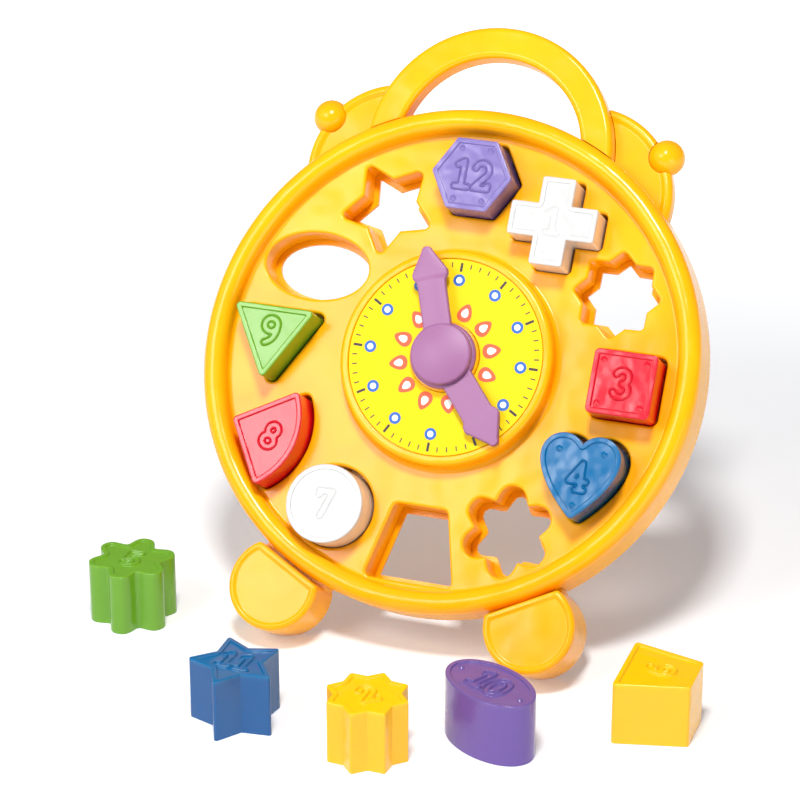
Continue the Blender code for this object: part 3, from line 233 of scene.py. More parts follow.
class ClockBlockSizes(bpy.types.PropertyGroup):
    """Sizes of the twelve numbered blocks"""

    height: size("Height", 0.0330, "Height of a block")
    wall: size("Wall", 0.0020, "Wall thickness of a hollow block")
    edge: size("Edge round", 0.0007, "Radius of a block's outer top edge")
    rim: size("Rim width", 0.0026, "Width of the raised rim round a block's face")
    recess: size("Recess", 0.0009, "Depth of a block's face below its rim")
    stroke: size("Stroke", 0.0016, "Half the width of a number's strokes")
    ridge: size("Ridge width", 0.0016, "Width of the raised line round a number")
    ridge_rise: size("Ridge rise", 0.0011, "Height of the raised line round a number")
    pip_radius: size("Pip radius", 0.0017, "Radius of the raised pips")
    pip_rise: size("Pip rise", 0.0011, "Height of the raised pips")
    bevel: size("Bevel", 0.0003, "Bevel along the open end of a block")
    inside_bevel: size("Inside bevel", 0.0004, "Bevel along the inner corners of a hollow block")


class ClockColours(bpy.types.PropertyGroup):
    """Base colours of the toy's plastics and inks"""

    body: colour("Body", (1.0, 0.495, 0.004), "Yellow plastic of the case")
    disc: colour("Disc", (0.92, 0.61, 0.0), "Lemon print of the disc")
    hands: colour("Hands", (0.315, 0.122, 0.275), "Lilac plastic of the hands")
    white: colour("White", (0.58, 0.58, 0.575), "White plastic")
    yellow: colour("Yellow blocks", (1.0, 0.55, 0.002), "Yellow plastic of the blocks")
    red: colour("Red", (0.66, 0.010, 0.030), "Red plastic")
    blue: colour("Blue", (0.0, 0.135, 0.34), "Blue plastic")
    green: colour("Green", (0.155, 0.38, 0.020), "Green plastic")
    purple: colour("Purple", (0.155, 0.092, 0.33), "Purple plastic")
    lavender: colour("Lavender", (0.20, 0.155, 0.42), "Lavender plastic")
    ink_black: colour("Black ink", (0.012, 0.012, 0.014), "Ink of the minute ticks")
    ink_blue: colour("Blue ink", (0.0, 0.11, 0.48), "Ink of the hour dots")
    ink_red: colour("Red ink", (0.95, 0.09, 0.015), "Ink of the sun petals")
    ink_white: colour("White ink", (0.90, 0.90, 0.88), "Ink inside the petals and dots")


def link(item, place=CLOCK):
    bpy.context.scene.collection.objects.link(item)
    item.matrix_world = place
    return item


def mesh_piece(name, bm, place=CLOCK, sharp=SHARP):
    """Turn a bmesh into a smooth shaded object with its faces pointing out."""
    bmesh.ops.recalc_face_normals(bm, faces=bm.faces)
    mesh = bpy.data.meshes.new(name)
    bm.to_mesh(mesh)
    bm.free()
    mesh.shade_smooth()
    mesh.set_sharp_from_angle(angle=sharp)
    return link(bpy.data.objects.new(name, mesh), place)


def piece_of(name, add, *values, place=CLOCK):
    """A piece of its own, made by one of the functions that add faces to a bmesh."""
    bm = bmesh.new()
    add(bm, *values)
    return mesh_piece(name, bm, place)


def flat_patches(bm, limit):
    """Number the patches of faces that lie in one plane, and add up the area of each."""
    patch = [-1] * len(bm.faces)
    areas = []
    for seed in bm.faces:
        if patch[seed.index] >= 0:
            continue
        patch[seed.index] = len(areas)
        waiting = [seed]
        area = 0.0
        while waiting:
            face = waiting.pop()
            area += face.calc_area()
            for edge in face.edges:
                for other in edge.link_faces:
                    if patch[other.index] < 0 and other.normal.dot(seed.normal) > limit:
                        patch[other.index] = len(areas)
                        waiting.append(other)
        areas.append(area)
    return patch, areas


def smooth_fans(vert, soft):
    """The face corners about a vertex, in groups that soft edges join."""
    left = {loop.face.index: loop for loop in vert.link_loops}
    edges = [edge for edge in vert.link_edges if edge.index in soft]
    while left:
        number, loop = left.popitem()
        fan = [loop]
        grown = {number}
        again = True
        while again:
            again = False
            for edge in edges:
                sides = [face.index for face in edge.link_faces]
                for one, two in (sides, sides[::-1]):
                    if one in grown and two in left:
                        grown.add(two)
                        fan.append(left.pop(two))
                        again = True
        yield fan


def even_shading(piece):
    """Shade flat faces flat up to the rounded edges that they meet, and keep sharp edges sharp."""
    mesh = piece.data
    bm = bmesh.new()
    bm.from_mesh(mesh)
    bm.normal_update()
    patch, areas = flat_patches(bm, math.cos(FLAT))
    soft = {edge.index for edge in bm.edges
            if len(edge.link_faces) == 2 and edge.calc_face_angle(math.pi) < SHARP}
    first = [polygon.loop_start for polygon in mesh.polygons]
    normals = numpy.zeros((len(mesh.loops), 3))
    for vert in bm.verts:
        for fan in smooth_fans(vert, soft):
            planes = {}
            for loop in fan:
                planes.setdefault(patch[loop.face.index], loop.face.normal)
            normal = Vector((0, 0, 0))
            for key, direction in planes.items():
                normal += direction * areas[key]
            for loop in fan:
                spot = list(loop.face.loops).index(loop)
                normals[first[loop.face.index] + spot] = normal
    bm.free()
    lengths = numpy.linalg.norm(normals, axis=1)
    normals[lengths == 0] = (0, 0, 1)
    mesh.shade_smooth()
    mesh.normals_split_custom_set([tuple(normal) for normal in
                                   normals / numpy.where(lengths == 0, 1, lengths)[:, None]])
    return piece


def combine(body, operation, *tools):
    """Add tools to a piece, or cut them from it, and remove them."""
    for tool in tools:
        step = body.modifiers.new(operation.lower(), "BOOLEAN")
        step.operation = operation
        step.object = tool
        step.solver = "EXACT"
        graph = bpy.context.evaluated_depsgraph_get()
        mesh = bpy.data.meshes.new_from_object(body.evaluated_get(graph))
        body.modifiers.clear()
        bm = bmesh.new()
        bm.from_mesh(mesh)
        bmesh.ops.remove_doubles(bm, verts=bm.verts, dist=WELD)
        bmesh.ops.dissolve_degenerate(bm, edges=bm.edges, dist=WELD)
        bm.to_mesh(mesh)
        bm.free()
        body.data = mesh
        bpy.data.objects.remove(tool, do_unlink=True)
    return body


def finish(piece, node, body, paint):
    """Paint a piece, let it ride on its body and let it stand for its node, if it has one."""
    piece.data.materials.clear()
    piece.data.materials.append(paint)
    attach(piece, body)
    if node:
        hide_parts(node)


def add_skin(bm, rings, closed=False):
    """Join rings of the same number of points by quads, with a cap at each end unless it is closed."""
    rows = [[bm.verts.new(point) for point in ring] for ring in rings]
    pairs = list(zip(rows, rows[1:]))
    if closed:
        pairs.append((rows[-1], rows[0]))
    for row, after in pairs:
        for i in range(len(row)):
            j = (i + 1) % len(row)
            bm.faces.new((row[i], row[j], after[j], after[i]))
    if not closed:
        bm.faces.new(rows[0])
        bm.faces.new(rows[-1])


def add_stack(bm, outline, levels, centre=(0.0, 0.0)):
    """Join an outline, grown and set to a depth as each of the levels says, about a centre on the dial."""
    add_skin(bm, [[(x + centre[0], depth, z + centre[1]) for x, z in outline(grow)]
                  for grow, depth in levels])


def turned_points(profile, angle, centre):
    """The points of a profile of radii and depths, turned by an angle about a line along Y."""
    return [(centre[0] + radius * math.cos(angle), depth, centre[1] + radius * math.sin(angle))
            for radius, depth in profile]


def add_turned(bm, profile, steps, centre=(0.0, 0.0)):
    """Turn a closed profile of (radius, depth) points about a line along Y."""
    poles = {k: bm.verts.new((centre[0], depth, centre[1]))
             for k, (radius, depth) in enumerate(profile) if radius == 0.0}
    rings = [[poles[k] if k in poles else bm.verts.new(point)
              for k, point in enumerate(turned_points(profile, FULL_TURN * i / steps, centre))]
             for i in range(steps)]
    for i, ring in enumerate(rings):
        after = rings[(i + 1) % steps]
        for k in range(len(profile)):
            m = (k + 1) % len(profile)
            corners = list(dict.fromkeys((ring[k], ring[m], after[m], after[k])))
            if len(corners) > 2:
                bm.faces.new(corners)


def arc(centre, radius, start, end, steps):
    angles = [start + (end - start) * i / steps for i in range(steps + 1)]
    return [(centre[0] + radius * math.cos(angle), centre[1] + radius * math.sin(angle))
            for angle in angles]


def edge_levels(soft, front, steps=5):
    """Inset and depth of each step of an edge rounded from a front face to a side."""
    angles = [RIGHT_ANGLE * i / steps for i in range(steps + 1)]
    return [(soft * (1 - math.sin(angle)), front + soft * (1 - math.cos(angle))) for angle in angles]


def side_directions(corners, i):
    """Unit vectors along the sides that come into and leave corner i, and the turn between them."""
    here = Vector(corners[i])
    before = (here - Vector(corners[i - 1])).normalized()
    after = (Vector(corners[(i + 1) % len(corners)]) - here).normalized()
    angle = math.atan2(before.x * after.y - before.y * after.x, before.dot(after))
    return before, after, angle


def grown_corners(corners, grow):
    """Move every side of an anticlockwise outline out by grow, or in where it is negative."""
    moved = []
    for i, corner in enumerate(corners):
        before, after, angle = side_directions(corners, i)
        out = Vector((before.y + after.y, -before.x - after.x)).normalized()
        moved.append(tuple(Vector(corner) + out * grow / math.cos(angle / 2)))
    return moved


def rounded(corners, radius, grow=0.0, steps=5, hollow=0.0004):
    """Grow an outline and round its corners, the inward ones by the radius named hollow."""
    outward = max(radius + grow, radius / 4)
    inward = max(hollow - grow, hollow / 4)
    corners = grown_corners(corners, grow)
    points = []
    for i in range(len(corners)):
        before, after, angle = side_directions(corners, i)
        bend = outward if angle > 0 else -inward
        start = Vector(corners[i]) - before * bend * math.tan(angle / 2)
        centre = start + Vector((-before.y, before.x)) * bend
        first = math.atan2(start.y - centre.y, start.x - centre.x)
        points.extend(arc(centre, abs(bend), first, first + angle, steps))
    return points


def offset_outline(outline, grow, samples=12):
    """Move an outline out by grow, or in where it is negative, each point along its own ray."""
    if grow == 0:
        return list(outline)
    points = numpy.array(outline)
    after = numpy.roll(points, -1, axis=0)
    shares = numpy.linspace(0, 1, samples, endpoint=False)
    dense = (points[:, None, :] + (after - points)[:, None, :] * shares[None, :, None]).reshape(-1, 2)
    rays = points / numpy.linalg.norm(points, axis=1)[:, None]
    along = rays @ dense.T
    across = rays[:, 0:1] * dense[:, 1][None, :] - rays[:, 1:2] * dense[:, 0][None, :]
    reach = numpy.sqrt(numpy.maximum(grow * grow - across * across, 0))
    ahead = (numpy.abs(across) <= abs(grow)) & (along > 0)
    if grow > 0:
        length = numpy.where(ahead, along + reach, 0).max(axis=1)
    else:
        far = numpy.linalg.norm(points, axis=1).max()
        length = numpy.where(ahead, along - reach, far).min(axis=1)
    return [tuple(ray * run) for ray, run in zip(rays, length)]


def round_corners(count, radii, start):
    """Corners at even turns about a centre, at each of the radii in turn."""
    angles = [start + FULL_TURN * i / count for i in range(count)]
    return [(radii[i % len(radii)] * math.cos(angle), radii[i % len(radii)] * math.sin(angle))
            for i, angle in enumerate(angles)]


def cross_outline(grow):
    reach, arm, corner = 0.0452 / 2, 0.0173 / 2, 0.0015
    corners = []
    for step in range(4):
        for x, z in ((reach, -arm), (reach, arm), (arm, arm)):
            for _ in range(step):
                x, z = -z, x
            corners.append((x, z))
    return rounded(corners, corner, grow)


def small_star_outline(grow):
    tip, waist, corner = 0.0214, 0.0166, 0.0013
    return rounded(round_corners(16, (tip, waist), 0.0), corner, grow)


def big_star_outline(grow):
    tip, waist, corner = 0.0243, 0.0134, 0.0013
    return rounded(round_corners(10, (tip, waist), -RIGHT_ANGLE), corner, grow)


def square_outline(grow):
    half, corner = 0.0326 / 2, 0.0026
    return rounded([(half, -half), (half, half), (-half, half), (-half, -half)], corner, grow, 8)


def heart_outline(grow):
    """Two round lobes over sides that curve in to a rounded tip."""
    half, lobe_radius, drop = 0.0410 / 2, 0.0113, 0.0315
    side_share, tip_share, middle_share, bow_share = 0.413, 0.972, 0.306, 0.97
    start, bend, point = (half, 0.0), (half, -side_share * drop), (0.0, -drop)
    right = [(0.0, -tip_share * drop)]
    steps = 18
    for i in range(steps):
        along = bow_share * (1 - i / steps)
        rest = 1 - along
        right.append(tuple(rest * rest * a + 2 * rest * along * b + along * along * c
                           for a, b, c in zip(start, bend, point)))
    lobe = (half - lobe_radius, 0.0)
    right.extend(arc(lobe, lobe_radius, 0.0, math.acos(-lobe[0] / lobe_radius), 24))
    right[-1] = (0.0, right[-1][1])
    left = [(-x, z) for x, z in reversed(right[1:-1])]
    return offset_outline([(x, z + middle_share * drop) for x, z in right + left], grow)


def flower_outline(grow):
    """Six round petals from one wave, the first petal pointing up."""
    middle, wave, steps = 0.0189, 0.0033, 144
    points = []
    for i in range(steps):
        angle = FULL_TURN * i / steps
        radius = middle + wave * (1 - 2 * abs(math.sin(3 * angle)) ** 3)
        points.append((-radius * math.sin(angle), radius * math.cos(angle)))
    return offset_outline(points, grow)


def trapezoid_outline(grow):
    top, bottom, half, corner = 0.0262 / 2, 0.0440 / 2, 0.0366 / 2, 0.0018
    return rounded([(bottom, -half), (top, half), (-top, half), (-bottom, -half)], corner, grow)


def oval_points(width, height, steps=96):
    return [(x * width / 2, z * height / 2) for x, z in arc((0, 0), 1.0, 0, FULL_TURN, steps)[:-1]]


def circle_outline(grow):
    radius = 0.0201
    return oval_points(2 * (radius + grow), 2 * (radius + grow))


def oval_outline(grow):
    width, height = 0.0536, 0.0328
    return offset_outline(oval_points(width, height), grow)


def quarter_outline(grow):
    """A quarter of a circle with rounded corners, turned with its square corner up and to the left."""
    reach_radius, corner, middle_share, turned = 0.0372, 0.0022, 0.438, -60.7
    radius = max(corner + grow, corner / 4)
    inset = radius - grow
    reach = math.sqrt((reach_radius - inset) ** 2 - inset ** 2)
    blend = math.atan2(inset, reach)
    points = arc((inset, inset), radius, 2 * RIGHT_ANGLE, 3 * RIGHT_ANGLE, 6)
    points += arc((reach, inset), radius, -RIGHT_ANGLE, blend, 7)
    points += arc((0, 0), reach_radius + grow, blend, RIGHT_ANGLE - blend, 28)[1:-1]
    points += arc((inset, reach), radius, RIGHT_ANGLE - blend, 2 * RIGHT_ANGLE, 7)
    middle = middle_share * reach_radius
    swing = Matrix.Rotation(math.radians(turned), 2)
    return [tuple(swing @ Vector((x - middle, z - middle))) for x, z in points]


def triangle_outline(grow):
    radius, corner = 0.0446 / math.sqrt(3), 0.0022
    return rounded(round_corners(3, (radius,), -RIGHT_ANGLE), corner, grow, 7)


def hexagon_outline(grow):
    radius, corner = 0.0212, 0.0016
    return rounded(round_corners(6, (radius,), 0.0), corner, grow)


def fill(node, inputs):
    """Give a node's inputs, by name or number, their values, or join them to the sockets given."""
    for key, value in inputs.items():
        if isinstance(value, bpy.types.NodeSocket):
            node.id_data.links.new(value, node.inputs[key])
        else:
            node.inputs[key].default_value = value


def add_node(tree, kind, inputs=None, **settings):
    """Add a shader node with its settings and its inputs."""
    made = tree.nodes.new("ShaderNode" + kind)
    for key, value in settings.items():
        setattr(made, key, value)
    fill(made, inputs or {})
    return made


def shader_group(name, output, inputs):
    """An empty shader node group, the sockets that it is given and the node that takes its output."""
    tree = bpy.data.node_groups.new(name, "ShaderNodeTree")
    for label, value in inputs.items():
        kind = "NodeSocketFloat" if isinstance(value, float) else "NodeSocketColor"
        tree.interface.new_socket(name=label, in_out="INPUT", socket_type=kind).default_value = value
    kind = "NodeSocketColor" if output == "Color" else "NodeSocketFloat"
    tree.interface.new_socket(name=output, in_out="OUTPUT", socket_type=kind)
    return tree, tree.nodes.new("NodeGroupInput").outputs, tree.nodes.new("NodeGroupOutput")


def math_node(tree, operation, first, second=0.0, clamp=False):
    """The result of a sum on sockets or numbers."""
    return add_node(tree, "Math", {0: first, 1: second}, operation=operation, use_clamp=clamp).outputs[0]


def mould_texture_group():
    """Height of spark-eroded mould texture, slow sink waves and fine handling scratches."""
    tree, given, put = shader_group("Mould texture", "Height", {
        "Grain Scale": 2600.0, "Grain": 0.25, "Wave Scale": 45.0, "Wave": 1.0, "Scratches": 0.2})
    place = add_node(tree, "TexCoord").outputs["Object"]
    grain = add_node(tree, "TexNoise", {"Vector": place, "Scale": given["Grain Scale"], "Detail": 3.0})
    wave = add_node(tree, "TexNoise", {"Vector": place, "Scale": given["Wave Scale"], "Detail": 1.0})
    stretch = add_node(tree, "Mapping", {"Vector": place, "Scale": (900.0, 60.0, 140.0),
                                         "Rotation": (0.3, 0.5, 0.9)})
    scratch = add_node(tree, "TexNoise", {"Vector": stretch.outputs["Vector"], "Scale": 1.0, "Detail": 2.0})
    line = add_node(tree, "MapRange", {"Value": scratch.outputs["Fac"], "From Min": 0.68, "From Max": 0.76})
    height = math_node(tree, "ADD", math_node(tree, "MULTIPLY", grain.outputs["Fac"], given["Grain"]),
                       math_node(tree, "MULTIPLY", wave.outputs["Fac"], given["Wave"]))
    marks = math_node(tree, "MULTIPLY", line.outputs["Result"], given["Scratches"])
    fill(put, {"Height": math_node(tree, "SUBTRACT", height, marks)})
    return tree


def range_mask(tree, value, low, high):
    """A smooth mask that rises from 0 to 1 between two numbers or sockets."""
    return add_node(tree, "MapRange", {"Value": value, "From Min": low, "From Max": high},
                    interpolation_type="SMOOTHSTEP").outputs["Result"]


def colour_mix(tree, factor, first, second):
    """A blend of two colours. Inputs 6 and 7 and output 2 are the ones of a mix node that carry colour."""
    return add_node(tree, "Mix", {"Factor": factor, 6: first, 7: second}, data_type="RGBA").outputs[2]


def plastic_colour_group():
    """Colour of moulded plastic: flow variation, and painted shade on faces turned sideways, more so deeper
    along Y.
    """
    tree, given, put = shader_group("Plastic colour", "Color", {
        "Color": (1, 1, 1, 1), "Deep Color": (0, 0, 0, 1), "Side Color": (0, 0, 0, 1),
        "Variation": 0.25, "Side Amount": 0.0, "Side Start": 0.0, "Side End": 0.01})
    place = add_node(tree, "TexCoord").outputs
    flow = add_node(tree, "TexNoise", {"Vector": place["Object"], "Scale": 30.0, "Detail": 4.0,
                                       "Distortion": 0.8})
    amount = math_node(tree, "MULTIPLY", flow.outputs["Fac"], given["Variation"])
    tint = colour_mix(tree, amount, given["Color"], given["Deep Color"])
    spot = add_node(tree, "SeparateXYZ", {"Vector": place["Object"]})
    facing = add_node(tree, "SeparateXYZ", {"Vector": place["Normal"]})
    # Painted shade: faces turned sideways, and lying deeper along Y than the start, are mixed towards the
    # shade colour
    flat = math_node(tree, "ABSOLUTE", facing.outputs["Y"])
    side = range_mask(tree, math_node(tree, "SUBTRACT", 1.0, flat), 0.15, 0.85)
    deep = range_mask(tree, spot.outputs["Y"], given["Side Start"], given["Side End"])
    amount = math_node(tree, "MULTIPLY", math_node(tree, "MULTIPLY", side, deep), given["Side Amount"])
    fill(put, {"Color": colour_mix(tree, amount, tint, given["Side Color"])})
    return tree


def smudge_group():
    """Roughness that varies with handling smudges and faint dust."""
    tree, given, put = shader_group("Handling smudges", "Roughness", {"Roughness": 0.3, "Spread": 0.1})
    smudge = add_node(tree, "TexNoise", {"Vector": add_node(tree, "TexCoord").outputs["Object"],
                                         "Scale": 70.0, "Detail": 5.0, "Roughness": 0.6})
    centred = math_node(tree, "SUBTRACT", smudge.outputs["Fac"], 0.5)
    spread = math_node(tree, "MULTIPLY", centred, given["Spread"])
    fill(put, {"Roughness": math_node(tree, "ADD", given["Roughness"], spread, True)})
    return tree


def effect(tree, name, maker, inputs):
    """The output of a shared node group, made the first time, with this material's own values."""
    shared = bpy.data.node_groups.get(name) or maker()
    return add_node(tree, "Group", inputs, node_tree=shared).outputs[0]


# The side colour, with its amount, start and end, is painted shade on faces turned sideways, deeper along Y
def plastic(name, base, deep, side=None, side_amount=0.8, side_start=0.0, side_end=0.01, roughness=0.3,
            spread=0.12, grain=0.006, grain_scale=2600.0, wave=0.35, wave_scale=60.0, scratches=0.01,
            variation=0.3, coat=0.0, specular=0.5, metallic=0.0):
    """Moulded plastic: a Principled shader fed by the shared groups, with painted shade on faces turned
    sideways unless its amount is zero. Reliefs are in millimetres.
    """
    millimetre = 0.001
    made = bpy.data.materials.new(name)
    made.use_nodes = True
    tree = made.node_tree
    colour_and_painted_shade = effect(tree, "Plastic colour", plastic_colour_group, {
        "Color": (*base, 1.0), "Deep Color": (*deep, 1.0), "Side Color": (*(side or deep), 1.0),
        "Side Amount": side_amount, "Side Start": side_start, "Side End": side_end,
        "Variation": variation})
    gloss = effect(tree, "Handling smudges", smudge_group, {"Roughness": roughness, "Spread": spread})
    mould = effect(tree, "Mould texture", mould_texture_group, {
        "Grain Scale": grain_scale, "Grain": grain, "Wave Scale": wave_scale, "Wave": wave,
        "Scratches": scratches})
    relief = add_node(tree, "Bump", {"Strength": 1.0, "Distance": millimetre, "Height": mould})
    fill(tree.nodes["Principled BSDF"], {
        "Base Color": colour_and_painted_shade, "Roughness": gloss, "Metallic": metallic, "Specular IOR Level": specular,
        "Coat Weight": coat, "Coat Roughness": 0.12, "Normal": relief.outputs["Normal"]})
    return made


def deeper(rgb, amount):
    return tuple(value * amount for value in rgb)


def materials():
    """Every finish of the toy, made once and kept by name."""
    hues = bpy.context.scene.clock_colours
    made = {}

    def paint(key, name, base, **values):
        found = bpy.data.materials.get(name)
        made[key] = found or plastic(name, tuple(base), values.pop("deep", deeper(base, 0.8)), **values)

    # The body's side colour is painted shade: a deeper orange on the hole walls, the outer wall and other
    # faces turned sideways
    paint("body", "yellow case plastic", hues.body, deep=(1.0, 0.33, 0.0), side=(1.0, 0.45, 0.0),
          side_start=0.002, side_end=0.014, roughness=0.20, wave=0.9, wave_scale=48.0, variation=0.75,
          specular=0.3)
    paint("disc", "lemon printed card", hues.disc, deep=(1.0, 0.78, 0.0), side_amount=0.0, roughness=0.5,
          wave=0.02, grain=0.002, grain_scale=5200.0, scratches=0.0, variation=0.15, specular=0.2)
    # Painted shade darkens the hands' edges
    paint("hands", "lilac hand plastic", hues.hands, side=deeper(hues.hands, 0.7), side_start=-0.02,
          side_end=-0.01, side_amount=0.5, roughness=0.42, wave=0.15, variation=0.2)
    # Each block's side colour is painted shade on its side walls, below the edge of its face
    for key, side in (("white", (0.80, 0.72, 0.60)), ("yellow", (1.0, 0.48, 0.0)),
                      ("red", (0.72, 0.0, 0.012)), ("blue", (0.0, 0.07, 0.26)),
                      ("green", (0.14, 0.36, 0.012)), ("purple", (0.14, 0.07, 0.33)),
                      ("lavender", (0.13, 0.09, 0.33))):
        paint(key, key + " block plastic", getattr(hues, key), side=side, side_start=-0.033,
              side_end=-0.030, side_amount=0.75, roughness=0.20, wave=0.5, wave_scale=110.0, coat=0.1)
    for key in ("ink_black", "ink_blue", "ink_red", "ink_white"):
        paint(key, key.replace("ink_", "") + " printing ink", getattr(hues, key), side_amount=0.0,
              roughness=0.45, wave=0.0, grain=0.002, grain_scale=7000.0, variation=0.1, scratches=0.0)
    # The nylon and the steel take the default painted shade on faces turned sideways
    paint("nylon", "natural nylon", (0.82, 0.80, 0.72), roughness=0.45, wave=0.05)
    paint("steel", "zinc plated steel", (0.60, 0.61, 0.62), deep=(0.38, 0.37, 0.34), roughness=0.32,
          spread=0.3, grain=0.01, wave=0.0, scratches=0.03, variation=0.6, metallic=1.0)
    return made


def shaded_copy(node, name, place=CLOCK):
    """A node's own shape in the frame named place, shaded so that its flats stay flat."""
    bm = bmesh.new()
    bm.from_mesh(frame["nodes"][node].data)
    bmesh.ops.transform(bm, matrix=place.inverted(), verts=bm.verts)
    bmesh.ops.remove_doubles(bm, verts=bm.verts, dist=WELD)
    return even_shading(mesh_piece(name, bm, place))


def drum(name, radius, front, back, steps=144, centre=(0.0, 0.0)):
    profile = [(0.0, front), (radius, front), (radius, back), (0.0, back)]
    return piece_of(name, add_turned, profile, steps, centre)


def add_swept(bm, profile, start, end, steps, centre=(0.0, 0.0)):
    """Sweep a closed profile of (radius, depth) points about a line along Y, between two angles."""
    add_skin(bm, [turned_points(profile, start + (end - start) * i / steps, centre)
                  for i in range(steps + 1)])


def sector(name, *sides, grow=0.0):
    """A block of a ring. Its sides are inner and outer radius, front, back, middle angle and half angle."""
    inner, outer, front, back, middle, half = sides
    inner, outer, half = inner - grow, outer + grow, half + grow / outer
    profile = [(inner, front), (outer, front), (outer, back), (inner, back)]
    return piece_of(name, add_swept, profile, middle - half, middle + half, 20)


def rim_levels(soft, rim, recess, front, steps=8):
    """Inset and depth from a recessed face up over a half round rim and down to the side."""
    levels = []
    for i in range(steps + 1):
        fall = (1 + math.cos(math.pi * i / steps)) / 2
        levels.append((rim - (rim - soft) * i / steps, front + recess * fall))
    return levels + edge_levels(soft, front, 7)[1:]


def shell_profile(case, dial):
    """Radius and depth all round the front shell: over the face, down the wall and back inside."""
    soft = case.edge
    collar = dial.disc_face - case.collar_rise
    pocket = dial.disc_face + dial.disc_thickness + case.clearance
    disc_edge = dial.disc_radius + case.clearance
    crest = -case.drum_crest
    bead = case.bead_width / 2
    middle = case.radius - bead
    bend, side = case.drum_round, case.drum_radius
    points = [(0.0, collar)]
    points += arc((dial.collar_radius - soft, collar + soft), soft, -RIGHT_ANGLE, 0, 4)
    points += [(dial.collar_radius, pocket), (disc_edge, pocket)]
    points += arc((disc_edge + soft, crest + soft), soft, 2 * RIGHT_ANGLE, 3 * RIGHT_ANGLE, 4)
    points += arc((side - bend, crest + bend), bend, -RIGHT_ANGLE, 0, 8)
    points += arc((side + bend, case.panel - bend), bend, 2 * RIGHT_ANGLE, RIGHT_ANGLE, 8)
    foot = case.bead_foot
    points += arc((middle - bead - foot, case.panel - foot), foot, RIGHT_ANGLE, 0, 6)
    points += [(middle + bead * x, case.bead_rise * (1 - y)) for x, y in arc((0, 0), 1.0, math.pi, 0, 28)]
    points += arc((case.radius - soft, case.depth - soft), soft, 0, RIGHT_ANGLE, 3)
    points.append((case.radius - case.wall, case.depth))
    hollow = bead - case.wall
    points += [(middle + hollow * x, case.bead_rise - (case.bead_rise - case.wall) * y)
               for x, y in arc((0, 0), 1.0, 0, math.pi, 3)]
    inside = case.panel + case.wall
    floor = pocket + case.wall
    points += [(middle - hollow, inside), (side - case.wall, inside), (side - case.wall, floor)]
    return points + [(0.0, floor)]


# Across and up from the dial's centre, as shares of the ring of hole middles
HOLE_PLACE_SHARES = {
    1: (0.480, 0.829), 2: (0.869, 0.493), 3: (1.026, -0.009), 4: (0.874, -0.543),
    5: (0.495, -0.892), 6: (-0.011, -1.041), 7: (-0.510, -0.904), 8: (-0.892, -0.576),
    9: (-1.012, 0.008), 10: (-0.874, 0.430), 11: (-0.525, 0.820), 12: (-0.024, 1.033),
}


def hole_solids(name, case, levels):
    """One object with a solid in each block hole, through the growths and depths in levels."""
    bm = bmesh.new()
    for hour, (_, outline, *_) in BLOCKS.items():
        across, up = HOLE_PLACE_SHARES[hour]
        add_stack(bm, outline, levels, (across * case.ring, up * case.ring))
    return mesh_piece(name, bm)


def crossing(ring, reach, radius):
    """Angle at the dial's centre between a circle's centre and where it crosses a ring."""
    return math.acos((ring ** 2 + reach ** 2 - radius ** 2) / (2 * ring * reach))


def clock_angle(turned):
    """Angle about the dial's centre for a turn from the top, clockwise."""
    return RIGHT_ANGLE - turned


def span(side, start, end, slack=0.0):
    """Middle angle and half angle between two turns from the top, on one side of the clock."""
    return clock_angle(side * (start + end) / 2), (end - start) / 2 + slack


def neck_spans(case, trim):
    """Turns from the top where a handle's arm starts and ends, and where a bell ends, at the wall."""
    inner = case.radius - case.wall
    arm_start = crossing(case.radius, trim.handle_centre, trim.handle_inner)
    arm_end = crossing(inner, trim.handle_centre, trim.handle_outer)
    bell_end = crossing(inner, math.hypot(trim.bell_across, trim.bell_up), trim.bell_radius)
    return arm_start, arm_end, bell_end + math.atan2(trim.bell_across, trim.bell_up)


def wall_slots(case, trim):
    """Front, middle and half angle of each slot in the case wall, for the handle, bells and feet."""
    arm_start, arm_end, bell_end = neck_spans(case, trim)
    front = case.panel + case.wall
    slack = math.radians(0.25)
    slots = []
    for side in (1, -1):
        slots.append((front, *span(side, arm_start, arm_end, slack)))
        slots.append((trim.bell_front - case.clearance / 3, *span(side, arm_end, bell_end, slack)))
        slots.append((front, clock_angle(side * (math.pi - trim.foot_angle)), trim.foot_spread + slack))
    return slots


def neck_front(case):
    return case.panel + case.wall + case.clearance


def seat_depth(case):
    return case.depth - case.back_wall - case.clearance


def flange(case, trim, front, back, middle, half, grow=0.0):
    """The wider part of a neck that sits inside the case wall."""
    outer = case.radius - case.wall - case.clearance
    sides = outer - trim.flange, outer, front, back, middle, half + trim.flange_spread
    return sector("flange", *sides, grow=grow)


def flange_middle(case, trim):
    return case.radius - case.wall - case.clearance - trim.flange / 2


def case_drums(case, trim):
    """What a piece outside the case is cut by: the case in front of its neck, and the case's inside."""
    return (drum("case", case.radius + case.clearance, -AHEAD, neck_front(case), 192),
            drum("inside", flange_middle(case, trim), -AHEAD, case.depth + PAST, 192))


